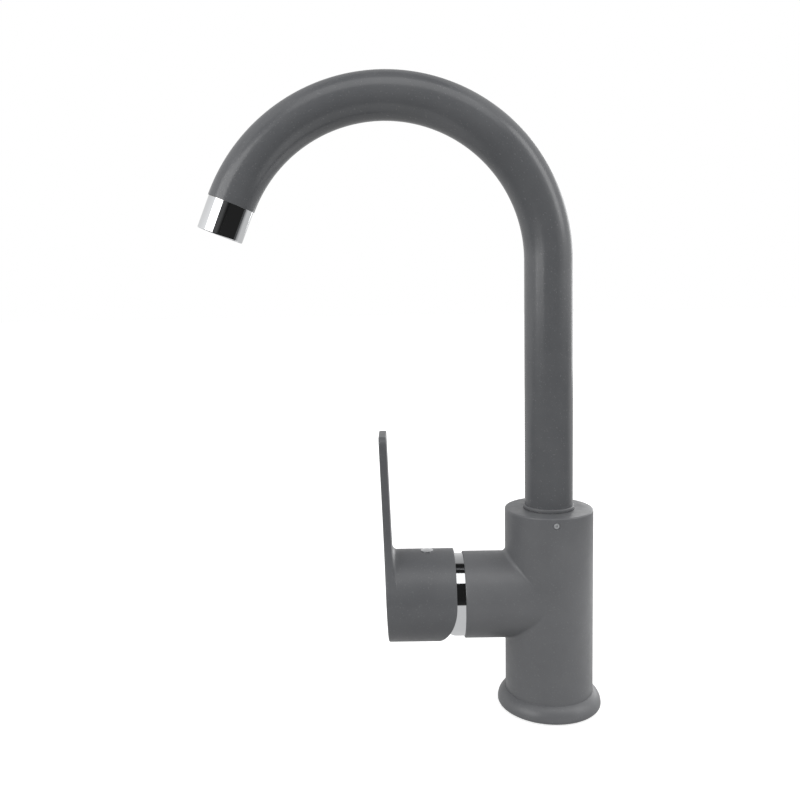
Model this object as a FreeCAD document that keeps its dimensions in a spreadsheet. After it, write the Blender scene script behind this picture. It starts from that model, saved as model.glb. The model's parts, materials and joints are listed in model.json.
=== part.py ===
import FreeCAD, Part
import Sketcher
import math
import os

# Single-lever mixer tap with a swan-neck swivel spout and a side cartridge.
# The origin is the centre of the face that stands on the deck, and +Z is up.
# The spout and the lever both point along -X.
# Lengths are in millimetres and angles in degrees.

SIZES = {
    # Cartridge and its chamber, from which the arm, the body and the lever's hub take their girth
    "cartridge_dia": 34.6,
    "cartridge_clearance": 0.3,
    "cartridge_lift": 0.4,
    "cartridge_wall": 1.5,
    "seat_offset": 10.0,
    "nut_step": 0.85,
    "nut_clearance": 0.05,
    "nut_thread_start": 23.0,
    # Upright of the body and the arm that holds the cartridge
    "arm_height": 60.5,
    "arm_wall": 4.35,
    "arm_over_nut": 0.3,
    "arm_fillet": 2.5,
    "arm_end_chamfer": 0.4,
    "stub_wall": 1.4,
    "stub_length": 2.9,
    "body_over_arm": 0.5,
    "neck_over_arm": 23.95,
    "body_edge_round": 0.8,
    # Foot of the body, its ring and the seal on the deck
    "foot_step": 2.65,
    "foot_wall": 1.9,
    "ring_height": 8.6,
    "ring_spread": 4.25,
    "ring_widest_height": 1.9,
    "ring_lift": 0.4,
    "ring_overhang": 0.1,
    "ring_clearance": 0.05,
    "seal_thickness": 2.0,
    "seal_spread": 3.6,
    "seal_inset": 0.4,
    "fit_gap": 0.2,
    # Recess under the body with the threaded inlet and stud bosses
    "recess_roof": 6.9,
    "boss_face_height": 14.0,
    "inlet_boss_dia": 14.4,
    "inlet_drill_dia": 9.0,
    "inlet_thread_depth": 14.0,
    "inlet_spacing": 17.0,
    "inlet_offset": 3.0,
    "inlet_way_dia": 6.4,
    "inlet_way_over": 3.0,
    "stud_boss_dia": 13.0,
    "stud_drill_dia": 6.8,
    "stud_thread_depth": 18.0,
    "stud_offset": 10.0,
    # Socket for the spout and the way up to it
    "socket_dia": 20.2,
    "socket_floor_wall": 1.9,
    "waterway_dia": 9.0,
    "waterway_sump": 4.3,
    "lock_screw_drop": 3.8,
    "lock_screw_dia": 3.2,
    "lock_screw_sink": 0.35,
    "lock_screw_clearance": 0.05,
    "lock_point_dia": 2.0,
    "lock_point_length": 1.6,
    "lock_key_width": 1.5,
    "lock_key_depth": 2.2,
    # Washer that the spout glides on
    "washer_play": 0.3,
    "washer_inset": 1.0,
    "washer_thickness": 0.8,
    "washer_sink": 0.6,
    # Spout
    "tube_dia": 25.0,
    "tube_wall": 1.2,
    "spout_rise": 128.0,
    "bend_radius": 84.4,
    "bend_sweep": 157.8,
    "collar_overhang": 0.7,
    "collar_height": 1.6,
    "collar_round": 0.4,
    "collar_gap": 0.05,
    "spigot_clearance": 0.075,
    "spigot_bore": 14.0,
    "spigot_plug_length": 13.0,
    "spigot_floor_gap": 2.0,
    "plug_clearance": 0.05,
    "o_ring_section": 1.8,
    "o_ring_groove_depth": 1.83,
    "o_ring_groove_width": 2.6,
    "o_ring_lift": 0.01,
    "o_ring_rise": 4.5,
    "o_ring_spacing": 7.5,
    "lock_groove_width": 3.2,
    "lock_groove_depth": 1.7,
    # Outlet nipple and aerator
    "nipple_plug_length": 5.0,
    "nipple_plug_gap": 0.25,
    "nipple_thread_dia": 21.8,
    "nipple_thread_length": 8.0,
    "nipple_bore": 17.6,
    "aerator_wall": 1.05,
    "aerator_thread_clearance": 0.05,
    "aerator_gap": 0.05,
    "aerator_edge_round": 0.5,
    "aerator_seat_step": 0.35,
    "aerator_lip": 1.0,
    "aerator_lip_height": 1.5,
    "aerator_seal_thickness": 1.5,
    "aerator_seal_inner_dia": 16.4,
    "aerator_seal_room": 0.05,
    "insert_length": 5.0,
    "insert_window_dia": 3.4,
    "insert_window_circle": 12.4,
    "insert_window_count": 8,
    "insert_centre_hole": 4.6,
    "screen_thickness": 1.2,
    "screen_hole_dia": 1.6,
    "screen_pitch": 2.55,
    "screen_rings": 3,
    # Cartridge pieces, in the order in which they stand outward from the chamber's floor
    "cartridge_base_thickness": 6.0,
    "peg_dia": 4.8,
    "peg_length": 2.8,
    "peg_clearance": 0.15,
    "peg_inset": 4.3,
    "peg_up": 5.0,
    "port_dia": 5.0,
    "inlet_port_up": 5.0,
    "inlet_port_side": 6.0,
    "inlet_port_depth": 5.0,
    "outlet_port_down": 2.2,
    "port_seal_dia": 7.0,
    "port_seal_section": 1.5,
    "port_seal_play": 0.1,
    "port_seal_room": 0.05,
    "disc_play": 0.5,
    "fixed_disc_thickness": 4.0,
    "disc_gap": 0.05,
    "moving_disc_thickness": 4.0,
    "moving_disc_down": 2.5,
    "mixing_pocket_dia": 10.0,
    "mixing_pocket_depth": 2.0,
    "mixing_slot_width": 5.2,
    "mixing_slot_length": 8.0,
    "carrier_thickness": 5.2,
    "carrier_width": 18.2,
    "flange_gap": 0.35,
    "flange_thickness": 4.2,
    "turret_step": 5.5,
    "turret_play": 0.3,
    "turret_proud": 2.5,
    "guide_length": 12.0,
    "guide_width": 2.0,
    "guide_play": 0.3,
    "guide_gap": 0.75,
    "cartridge_top_thickness": 2.0,
    "neck_wall": 1.9,
    "neck_height": 8.5,
    # Stem and its pin
    "pivot_over_shoulder": 3.0,
    "tilt_angle": 25.0,
    "stem_width": 8.0,
    "stem_slot_play": 0.45,
    "shank_inward": 5.5,
    "shank_over_screw": 9.3,
    "stem_neck_dia": 4.4,
    "ball_dia": 5.8,
    "ball_play": 0.25,
    "ball_gap": 0.15,
    "pin_dia": 3.0,
    "pin_sink": 1.3,
    "pin_play": 0.06,
    # Ring nut and chrome dome over it
    "nut_height": 8.8,
    "nut_bore_play": 0.35,
    "nut_notch_width": 5.0,
    "nut_notch_depth": 2.6,
    "nut_notch_count": 4,
    "dome_step": 1.05,
    "dome_wall": 1.5,
    "dome_shoulder_round": 6.0,
    "dome_clearance": 0.4,
    "dome_length": 9.9,
    "dome_thread_clearance": 0.05,
    # Lever: a round hub with a flared paddle standing on its outer face
    "hub_over_dome": 2.6,
    "hub_wall": 1.4,
    "hub_back": 10.9,
    "front_over_dome": 25.4,
    "hub_front_wall": 5.4,
    "hub_heel_radius": 37.2,
    "hub_heel_start": 1.5,
    "lever_lean": 1.85,
    "paddle_thickness": 3.9,
    "paddle_width": 26.0,
    "paddle_top": 87.4,
    "paddle_corner": 4.0,
    "paddle_flare": 106.0,
    "paddle_edge_round": 0.8,
    "paddle_blend": 3.3,
    "blend_bite": 0.3,
    "boss_dia": 16.0,
    "boss_over_dome": 2.17,
    "stem_socket_play": 0.06,
    "clamp_screw_step": 1.53,
    "clamp_screw_dia": 4.2,
    "clamp_screw_length": 5.0,
    "clamp_screw_play": 0.05,
    "clamp_key_width": 2.5,
    "clamp_key_depth": 2.2,
    "cap_dia": 6.6,
    "cap_play": 0.05,
    "cap_proud": 0.7,
    "cap_seat": 0.2,
    "cap_crown": 0.45,
}


# A cut runs this far past the face that it opens
PAST = 1.0
# Places closer than this are the same place
SAME_PLACE = 0.01


class Size:
    """A number with the sheet formula that gives it, so that one sum sets both."""

    def __init__(self, number, formula):
        self.number = float(number)
        self.formula = formula

    def __add__(self, other):
        other = as_size(other)
        return Size(self.number + other.number, f"({self.formula} + {other.formula})")

    def __sub__(self, other):
        other = as_size(other)
        return Size(self.number - other.number, f"({self.formula} - {other.formula})")

    def __mul__(self, other):
        other = as_size(other)
        return Size(self.number * other.number, f"({self.formula} * {other.formula})")

    def __truediv__(self, other):
        other = as_size(other)
        return Size(self.number / other.number, f"({self.formula} / {other.formula})")

    def __radd__(self, other):
        return as_size(other) + self

    def __rsub__(self, other):
        return as_size(other) - self

    def __rmul__(self, other):
        return as_size(other) * self

    def __neg__(self):
        return Size(-self.number, f"(0 - {self.formula})")


def as_size(value):
    """A plain number as a Size, or a Size as it is."""
    return value if isinstance(value, Size) else Size(value, f"({float(value)})")


def root(value):
    return Size(math.sqrt(value.number), f"sqrt({value.formula})")


def sine(angle):
    return Size(math.sin(math.radians(angle.number)), f"sin({angle.formula})")


def cosine(angle):
    return Size(math.cos(math.radians(angle.number)), f"cos({angle.formula})")


def tangent(angle):
    return sine(angle) / cosine(angle)


def on_circle(radius, across):
    """How far along a circle of this radius lies, at this distance across."""
    return root(radius * radius - across * across)


# The document and its sheet of driving sizes

doc = FreeCAD.newDocument("mixer_tap")
sheet = doc.addObject("Spreadsheet::Sheet", "Sizes")
for row, (alias, number) in enumerate(SIZES.items(), start=1):
    sheet.set(f"A{row}", alias)
    sheet.set(f"B{row}", str(number))
    sheet.setAlias(f"B{row}", alias)
doc.recompute()


class Sheet:
    """Gives each named size of the sheet as a Size."""

    def __getattr__(self, alias):
        return Size(SIZES[alias], f"Sizes.{alias}")


size = Sheet()
sub_parts = []


# Helpers for sketches

def vector(x, y, z=0.0):
    return FreeCAD.Vector(as_size(x).number, as_size(y).number, as_size(z).number)


def new_body(label):
    """A body that becomes one sub-part."""
    body = doc.addObject("PartDesign::Body", label)
    body.Label = label
    sub_parts.append(body)
    return body


def origin_plane(body, role):
    return next(item for item in body.Origin.OriginFeatures if item.Role == role)


def sketch(body, name, role, lift=0.0):
    """An empty sketch on an origin plane, lifted along its normal."""
    lift = as_size(lift)
    made = body.newObject("Sketcher::SketchObject", f"{body.Name}_{name}")
    made.AttachmentSupport = [(origin_plane(body, role), "")]
    made.MapMode = "FlatFace"
    made.AttachmentOffset = FreeCAD.Placement(vector(0, 0, lift), FreeCAD.Rotation())
    made.setExpression("AttachmentOffset.Base.z", lift.formula)
    return made


def bind(made, kind, *references):
    """Adds a dimension to a sketch and ties it to the sheet. The last reference is its Size."""
    value = as_size(references[-1])
    index = made.addConstraint(Sketcher.Constraint(kind, *references[:-1], value.number))
    made.setExpression(f"Constraints[{index}]", value.formula)


def pin_point(made, edge, end, x, y):
    """Holds a point of a sketch at its distances from the sketch's origin."""
    bind(made, "DistanceX", -1, 1, edge, end, x)
    bind(made, "DistanceY", -1, 1, edge, end, y)


def arc_edge(begin, end, radius):
    """The shorter arc from begin to end. It turns left, or right where the radius is negative."""
    first, last = (begin, end) if radius > 0 else (end, begin)
    middle = (first + last) * 0.5
    chord = last - first
    rise = math.sqrt(max(radius * radius - chord.Length ** 2 / 4, 0.0))
    centre = middle + FreeCAD.Vector(-chord.y, chord.x, 0).normalize() * rise
    start_angle = math.atan2(first.y - centre.y, first.x - centre.x)
    end_angle = math.atan2(last.y - centre.y, last.x - centre.x)
    if end_angle < start_angle:
        end_angle += 2 * math.pi
    circle_here = Part.Circle(centre, FreeCAD.Vector(0, 0, 1), abs(radius))
    return Part.ArcOfCircle(circle_here, start_angle, end_angle)


def outline(made, *corners):
    """Closes an outline through the corners of a sketch.

    A corner (x, y) is reached from the one before by a straight line.
    A corner (x, y, radius) is reached by an arc, as arc_edge draws it.
    """
    places = [vector(corner[0], corner[1]) for corner in corners]
    edges = []
    for index, corner in enumerate(corners):
        begin, end = places[index - 1], places[index]
        if len(corner) == 2:
            edge = made.addGeometry(Part.LineSegment(begin, end))
            edges.append((edge, 1, 2))
            continue
        radius = as_size(corner[2])
        edge = made.addGeometry(arc_edge(begin, end, radius.number))
        bind(made, "Radius", edge, radius if radius.number > 0 else -radius)
        edges.append((edge, 1, 2) if radius.number > 0 else (edge, 2, 1))
    for index, (edge, _, end) in enumerate(edges):
        following = edges[(index + 1) % len(edges)]
        made.addConstraint(Sketcher.Constraint("Coincident", edge, end, following[0], following[1]))
        pin_point(made, edge, end, corners[index][0], corners[index][1])


def rectangle(made, left, right, low, high):
    outline(made, (left, low), (right, low), (right, high), (left, high))


def circle(made, x, y, diameter):
    radius = as_size(diameter) / 2
    edge = made.addGeometry(Part.Circle(vector(x, y), FreeCAD.Vector(0, 0, 1), radius.number))
    bind(made, "Radius", edge, radius)
    pin_point(made, edge, 3, x, y)


def axis_line(made, x, y, across, up):
    """A construction line through a point of the sketch, for turning a profile about."""
    far_x, far_y = x + across, y + up
    edge = made.addGeometry(Part.LineSegment(vector(x, y), vector(far_x, far_y)), True)
    pin_point(made, edge, 1, x, y)
    pin_point(made, edge, 2, far_x, far_y)


# Helpers for features

def checked(feature, before, adds):
    """Recomputes a feature, and stops if it failed or left the solid's volume as it was before."""
    doc.recompute()
    change = feature.Shape.Volume - before
    if not feature.isValid() or (change if adds else -change) < 1e-6:
        raise RuntimeError(f"{feature.Name} failed or changed nothing")
    return feature


def volume_so_far(body):
    return body.Tip.Shape.Volume if body.Tip else 0.0


def swept(body, kind, profile, adds, length, reverse, both):
    before = volume_so_far(body)
    feature = body.newObject(f"PartDesign::{kind}", f"{profile.Name}_{kind.lower()}")
    feature.Profile = profile
    feature.Reversed = reverse
    if both:
        feature.SideType = "Symmetric"
    feature.setExpression("Length", as_size(length).formula)
    return checked(feature, before, adds)


def pad(body, profile, length, reverse=False, both=False):
    return swept(body, "Pad", profile, True, length, reverse, both)


def pocket(body, profile, length, reverse=False, both=False):
    return swept(body, "Pocket", profile, False, length, reverse, both)


def turned(body, kind, profile, adds, axis, angle):
    before = volume_so_far(body)
    feature = body.newObject(f"PartDesign::{kind}", f"{profile.Name}_{kind.lower()}")
    feature.Profile = profile
    feature.ReferenceAxis = (profile, [axis])
    feature.setExpression("Angle", as_size(angle).formula)
    return checked(feature, before, adds)


def revolve(body, profile, axis="V_Axis", angle=360.0):
    return turned(body, "Revolution", profile, True, axis, angle)


def groove(body, profile, axis="V_Axis"):
    return turned(body, "Groove", profile, False, axis, 360.0)


def edges_of(shape, wanted):
    """Names of the edges for which wanted(edge) is true."""
    return [f"Edge{number}" for number, edge in enumerate(shape.Edges, start=1) if wanted(edge)]


def is_circle(edge, radius, centre):
    """Tells whether an edge lies on a circle of this radius about this centre."""
    if not isinstance(edge.Curve, Part.Circle):
        return False
    near = (edge.Curve.Center - centre).Length < SAME_PLACE
    return near and abs(edge.Curve.Radius - as_size(radius).number) < SAME_PLACE


def dress(body, kind, name, wanted, amount):
    """A fillet or a chamfer on the wanted edges of the solid so far."""
    base = body.Tip
    names = edges_of(base.Shape, wanted)
    if not names:
        raise RuntimeError(f"{body.Name} has no edges for {name}")
    feature = body.newObject(f"PartDesign::{kind}", f"{body.Name}_{name}")
    feature.Base = (base, names)
    feature.setExpression("Radius" if kind == "Fillet" else "Size", as_size(amount).formula)
    doc.recompute()
    if not feature.isValid() or abs(feature.Shape.Volume - base.Shape.Volume) < 1e-9:
        raise RuntimeError(f"{feature.Name} failed or changed nothing")
    return feature


def around(body, original, count, role="Z_Axis"):
    """Repeats a feature evenly about an axis of the body."""
    pattern = body.newObject("PartDesign::PolarPattern", f"{original.Name}_around")
    pattern.Originals = [original]
    pattern.Axis = (origin_plane(body, role), [""])
    pattern.Angle = 360.0
    pattern.setExpression("Occurrences", as_size(count).formula)
    body.Tip = pattern
    doc.recompute()
    if not pattern.isValid() or abs(pattern.Shape.Volume - original.Shape.Volume) < 1e-6:
        raise RuntimeError(f"{pattern.Name} failed or repeated nothing")
    return pattern


def place(part, x, y, z, axis=(0, 0, 1), angle=0.0):
    """Puts a sub-part where it belongs, with its place tied to the sheet."""
    x, y, z, angle = as_size(x), as_size(y), as_size(z), as_size(angle)
    part.Placement = FreeCAD.Placement(vector(x, y, z), FreeCAD.Rotation(FreeCAD.Vector(*axis), angle.number))
    for letter, value in zip("xyz", (x, y, z)):
        part.setExpression(f"Placement.Base.{letter}", value.formula)
    if angle.number:
        part.setExpression("Placement.Rotation.Angle", angle.formula)


def place_on_cartridge_axis(part):
    """Local Z runs outward from the chamber floor, local X points up and local Y stays."""
    place(part, -size.seat_offset, 0, size.arm_height, (0, -1, 0), 90.0)


def place_at_outlet(part):
    """Local Z runs out of the tube's end, along the water."""
    sweep, radius = size.bend_sweep, size.bend_radius
    across = radius * cosine(sweep) - radius
    place(part, across, 0, bend_height() + radius * sine(sweep), (0, -1, 0), sweep)


def ring(label, centre_diameter, section):
    """A rubber ring lying flat about its own Z axis."""
    torus = doc.addObject("Part::Torus", label)
    torus.setExpression("Radius1", (as_size(centre_diameter) / 2).formula)
    torus.setExpression("Radius2", (as_size(section) / 2).formula)
    return torus


def turned_part(label, *corners):
    """A sub-part that is one profile turned about its local Z axis."""
    body = new_body(label)
    profile = sketch(body, "profile", "XZ_Plane")
    outline(profile, *corners)
    revolve(body, profile)
    return body


def tube_part(label, inner_radius, outer_radius, low, high):
    """A plain ring or bush."""
    return turned_part(
        label, (inner_radius, low), (outer_radius, low), (outer_radius, high), (inner_radius, high)
    )


# Sizes that follow from the sheet: radii, from the cartridge outward

def housing_bore():
    return size.cartridge_dia / 2 - size.cartridge_wall


def chamber_radius():
    return size.cartridge_dia / 2 + size.cartridge_clearance


def nut_radius():
    return size.cartridge_dia / 2 + size.nut_step


def nut_thread():
    return nut_radius() + size.nut_clearance


def turret_radius():
    return size.cartridge_dia / 2 - size.turret_step


def neck_bore():
    return turret_radius() + size.turret_play


def neck_radius():
    return neck_bore() + size.neck_wall


def stub_radius():
    return nut_thread() + size.stub_wall


def arm_radius():
    return nut_thread() + size.arm_wall


def body_radius():
    return arm_radius() + size.body_over_arm


def dome_radius():
    return arm_radius() - size.dome_step


def hub_radius():
    return dome_radius() + size.hub_over_dome


def hub_bore():
    return hub_radius() - size.hub_wall


def foot_radius():
    return body_radius() - size.foot_step


def recess_radius():
    return foot_radius() - size.foot_wall


def seal_radius():
    return foot_radius() + size.seal_spread


def spigot_radius():
    return size.socket_dia / 2 - size.spigot_clearance


def collar_radius():
    return size.tube_dia / 2 + size.collar_overhang


def washer_radius():
    return collar_radius() - size.washer_inset


def aerator_thread():
    return size.nipple_thread_dia / 2 + size.aerator_thread_clearance


def aerator_seat():
    return aerator_thread() - size.aerator_seat_step


# Heights above the deck

def body_top():
    return size.arm_height + arm_radius() + size.neck_over_arm


def recess_ceiling():
    return size.arm_height - chamber_radius() - size.recess_roof


def socket_floor():
    return size.arm_height + chamber_radius() + size.socket_floor_wall


def lock_screw_height():
    return body_top() - size.lock_screw_drop


def washer_seat():
    return body_top() - size.washer_sink


def collar_bottom():
    return washer_seat() + size.washer_thickness + size.collar_gap


def tube_bottom():
    return collar_bottom() + size.collar_height


def bend_height():
    return tube_bottom() + size.spout_rise


def spigot_foot():
    return socket_floor() + size.spigot_floor_gap


def o_ring_heights():
    lower = spigot_foot() + size.o_ring_rise
    return lower, lower + size.o_ring_spacing


# Distances outward from the chamber's floor

def base_bottom():
    return size.cartridge_lift


def base_top():
    return base_bottom() + size.cartridge_base_thickness


def fixed_disc_top():
    return base_top() + size.fixed_disc_thickness


def moving_disc_bottom():
    return fixed_disc_top() + size.disc_gap


def moving_disc_top():
    return moving_disc_bottom() + size.moving_disc_thickness


def ball_centre():
    return moving_disc_top() + size.ball_gap + size.ball_dia / 2


def flange_bottom():
    return moving_disc_top() + size.carrier_thickness + size.flange_gap


def flange_top():
    return flange_bottom() + size.flange_thickness


def shoulder():
    return flange_top() + size.turret_play + size.cartridge_top_thickness


def neck_top():
    return shoulder() + size.neck_height


def nut_top():
    return shoulder() + size.nut_height


def pivot():
    """The stem's pin, which is also the middle of the dome's ball."""
    return shoulder() + size.pivot_over_shoulder


def arm_end():
    return nut_top() + size.arm_over_nut


def arm_reach():
    """From the body's axis to the arm's end."""
    return size.seat_offset + arm_end()


def hub_start():
    return pivot() + size.hub_back


def dome_ball():
    """The ball about the pivot that the dome's shoulder lies on, inside the swing of the hub's rim."""
    return root(size.hub_back * size.hub_back + hub_bore() * hub_bore()) - size.dome_clearance


def boss_ball():
    """The ball about the pivot that the lever's boss ends on."""
    return dome_radius() + size.boss_over_dome


def clamp_screw_place():
    return pivot() + boss_ball() + size.clamp_screw_step


def shank_end():
    return clamp_screw_place() + size.shank_over_screw


# Distances along the water, outward from the tube's end

def insert_seat():
    """Where the aerator's insert starts, below the nipple and its seal."""
    return size.nipple_thread_length + size.aerator_seal_thickness + size.aerator_seal_room * 2


def screen_start():
    return insert_seat() + size.insert_length


def lip_start():
    return screen_start() + size.screen_thickness


# Body, foot ring and seal

def make_body():
    """The forged upright with its arm, chamber, waterways and threaded bosses."""
    body = new_body("body")
    radius, foot = body_radius(), foot_radius()
    top, level = body_top(), size.arm_height
    upright = sketch(body, "upright", "XZ_Plane")
    outline(
        upright,
        (0, size.seal_thickness),
        (foot, size.seal_thickness),
        (foot, size.ring_height),
        (radius, size.ring_height),
        (radius, top),
        (0, top),
    )
    revolve(body, upright)

    arm = sketch(body, "arm", "YZ_Plane")
    circle(arm, 0, level, arm_radius() * 2)
    pad(body, arm, arm_reach(), reverse=True)
    plain = (Part.Line, Part.Circle)
    dress(body, "Fillet", "arm_blend", lambda edge: not isinstance(edge.Curve, plain), size.arm_fillet)
    top_centre = vector(0, 0, top)
    dress(body, "Fillet", "top_round", lambda edge: is_circle(edge, radius, top_centre), size.body_edge_round)
    end_centre = vector(-arm_reach(), 0, level)
    dress(
        body,
        "Chamfer",
        "arm_end_edge",
        lambda edge: is_circle(edge, arm_radius(), end_centre),
        size.arm_end_chamfer,
    )
    stub = sketch(body, "stub", "YZ_Plane")
    circle(stub, 0, level, stub_radius() * 2)
    pad(body, stub, arm_reach() + size.stub_length, reverse=True)

    cut_chamber(body)
    cut_socket(body)
    cut_underside(body)
    cut_ports(body)
    return body


def cut_chamber(body):
    """Bores the arm for the cartridge and for the ring nut's thread."""
    level = size.arm_height
    chamber = level + chamber_radius()
    thread = level + nut_thread()
    floor = -size.seat_offset
    step = floor - size.nut_thread_start
    mouth = -arm_reach() - size.stub_length - PAST
    profile = sketch(body, "chamber", "XZ_Plane")
    axis_line(profile, as_size(0), level, -arm_reach(), 0)
    outline(
        profile,
        (floor, level),
        (mouth, level),
        (mouth, thread),
        (step, thread),
        (step, chamber),
        (floor, chamber),
    )
    groove(body, profile, "Axis0")


def cut_socket(body):
    """Bores the socket of the spout, the seat of its washer and the way up from the cartridge."""
    top, seat, floor = body_top(), washer_seat(), socket_floor()
    washer = washer_radius() + size.fit_gap
    socket = size.socket_dia / 2
    way = size.waterway_dia / 2
    sump = size.arm_height - size.outlet_port_down - size.waterway_sump
    profile = sketch(body, "socket", "XZ_Plane")
    outline(
        profile,
        (0, sump),
        (way, sump),
        (way, floor),
        (socket, floor),
        (socket, seat),
        (washer, seat),
        (washer, top + PAST),
        (0, top + PAST),
    )
    groove(body, profile)
    hole = sketch(body, "lock_hole", "XZ_Plane")
    circle(hole, 0, lock_screw_height(), size.lock_screw_dia)
    pocket(body, hole, body_radius() * 2, reverse=True)


def inlet_places():
    """Where the two inlets stand: cold on one side, hot on the other."""
    half = size.inlet_spacing / 2
    return [(-size.inlet_offset, half), (-size.inlet_offset, -half)]


def cut_underside(body):
    """Hollows the foot and leaves the bosses for the two hoses and the fixing stud."""
    recess = sketch(body, "recess", "XY_Plane")
    circle(recess, 0, 0, recess_radius() * 2)
    pocket(body, recess, recess_ceiling(), reverse=True)
    face = size.boss_face_height
    bosses = sketch(body, "bosses", "XY_Plane", face)
    for x, y in inlet_places():
        circle(bosses, x, y, size.inlet_boss_dia)
    circle(bosses, size.stud_offset, 0, size.stud_boss_dia)
    pad(body, bosses, recess_ceiling() - face + PAST)
    threads = sketch(body, "inlet_threads", "XY_Plane", face)
    ways = sketch(body, "inlet_ways", "XY_Plane", face)
    for x, y in inlet_places():
        circle(threads, x, y, size.inlet_drill_dia)
        circle(ways, x, y, size.inlet_way_dia)
    pocket(body, threads, size.inlet_thread_depth, reverse=True)
    way_top = size.arm_height + size.inlet_port_up + size.inlet_way_over
    pocket(body, ways, way_top - face, reverse=True)
    stud = sketch(body, "stud_thread", "XY_Plane", face)
    circle(stud, size.stud_offset, 0, size.stud_drill_dia)
    pocket(body, stud, size.stud_thread_depth, reverse=True)


def peg_side():
    return size.cartridge_dia / 2 - size.peg_inset


def cut_ports(body):
    """Drills the chamber floor: two inlets, one outlet and two holes for the cartridge's pegs."""
    level = size.arm_height
    floor = -size.seat_offset
    inlets = sketch(body, "inlet_ports", "YZ_Plane", floor)
    pegs = sketch(body, "peg_holes", "YZ_Plane", floor)
    for side in (1, -1):
        circle(inlets, size.inlet_port_side * side, level + size.inlet_port_up, size.port_dia)
        circle(pegs, peg_side() * side, level + size.peg_up, size.peg_dia + size.peg_clearance * 2)
    pocket(body, inlets, size.inlet_port_depth, reverse=True)
    pocket(body, pegs, size.peg_length + size.peg_clearance, reverse=True)
    outlet = sketch(body, "outlet_port", "YZ_Plane", floor)
    circle(outlet, 0, level - size.outlet_port_down, size.port_dia)
    pocket(body, outlet, size.seat_offset, reverse=True)


def make_base_ring():
    """The round-shouldered ring that hides the foot of the body."""
    bore = foot_radius() + size.ring_clearance
    brim = body_radius() + size.ring_overhang
    widest = body_radius() + size.ring_spread
    rise = size.ring_height - size.ring_widest_height
    swell = widest - brim
    upper_round = (rise * rise + swell * swell) / (swell * 2)
    lower_round = size.ring_widest_height - size.ring_lift
    recess = seal_radius() + size.fit_gap
    turned_part(
        "base_ring",
        (bore, size.seal_thickness),
        (bore, size.ring_height),
        (brim, size.ring_height),
        (widest, size.ring_widest_height, -upper_round),
        (widest - lower_round, size.ring_lift, -lower_round),
        (recess, size.ring_lift),
        (recess, size.seal_thickness),
    )


def make_base_seal():
    """The flat rubber seal that the tap stands on."""
    inner = recess_radius() + size.seal_inset
    tube_part("base_seal", inner, seal_radius(), as_size(0), size.seal_thickness)


# Spout

def make_slide_washer():
    seat = washer_seat()
    inner = size.socket_dia / 2 + size.washer_play
    tube_part("slide_washer", inner, washer_radius(), seat, seat + size.washer_thickness)


def make_spout_collar():
    """The low ring at the foot of the tube, rounded at its upper edge."""
    low, high = collar_bottom(), tube_bottom()
    inner = spigot_radius() + size.fit_gap
    outer = collar_radius()
    corner = size.collar_round
    turned_part(
        "spout_collar",
        (inner, low),
        (outer, low),
        (outer, high - corner),
        (outer - corner, high, corner),
        (inner, high),
    )


def make_spout_tube():
    """The upright tube and its bend, one piece with an even wall."""
    body = new_body("spout_tube")
    low, high = tube_bottom(), bend_height()
    bore = size.tube_dia - size.tube_wall * 2
    section = sketch(body, "section", "XY_Plane", low)
    circle(section, 0, 0, size.tube_dia)
    circle(section, 0, 0, bore)
    pad(body, section, high - low)
    bend = sketch(body, "bend", "XY_Plane", high)
    circle(bend, 0, 0, size.tube_dia)
    circle(bend, 0, 0, bore)
    axis_line(bend, -size.bend_radius, as_size(0), 0, -size.tube_dia)
    revolve(body, bend, "Axis0", size.bend_sweep)


def make_spout_spigot():
    """The brass end of the spout: a plug in the tube, and a spigot grooved for two rings and a screw."""
    bore = size.spigot_bore / 2
    spigot = spigot_radius()
    plug = size.tube_dia / 2 - size.tube_wall - size.plug_clearance
    foot, step = spigot_foot(), tube_bottom()
    body = turned_part(
        "spout_spigot",
        (bore, foot),
        (spigot, foot),
        (spigot, step),
        (plug, step),
        (plug, step + size.spigot_plug_length),
        (bore, step + size.spigot_plug_length),
    )
    outer = spigot + PAST
    grooves = sketch(body, "grooves", "XZ_Plane")
    ring_floor = spigot - size.o_ring_groove_depth
    half = size.o_ring_groove_width / 2
    for height in o_ring_heights():
        rectangle(grooves, ring_floor, outer, height - half, height + half)
    half = size.lock_groove_width / 2
    height = lock_screw_height()
    rectangle(grooves, spigot - size.lock_groove_depth, outer, height - half, height + half)
    groove(body, grooves)


def make_spout_rings():
    """The two rubber rings that seal the spigot in its socket."""
    floor = spigot_radius() - size.o_ring_groove_depth
    centre = (floor + size.o_ring_section / 2 + size.o_ring_lift) * 2
    for label, height in zip(("lower_o_ring", "upper_o_ring"), o_ring_heights()):
        torus = ring(label, centre, size.o_ring_section)
        place(torus, 0, 0, height)
        sub_parts.append(torus)


def socket_screw(label, diameter, low, high, point_low, point_dia, key_width, key_depth):
    """A headless screw standing on local Z, with a hexagon socket in its upper end."""
    radius = diameter / 2
    corners = [(0, low), (radius, low), (radius, high), (0, high)]
    if point_dia is not None:
        point = point_dia / 2
        corners = [(0, point_low), (point, point_low), (point, low)] + corners[1:]
    body = turned_part(label, *corners)
    key = sketch(body, "key", "XY_Plane", high)
    corner = key_width / 2 / math.cos(math.pi / 6)
    angles = [math.pi / 3 * step for step in range(6)]
    outline(key, *[(corner * math.cos(angle), corner * math.sin(angle)) for angle in angles])
    pocket(body, key, key_depth)
    return body


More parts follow.
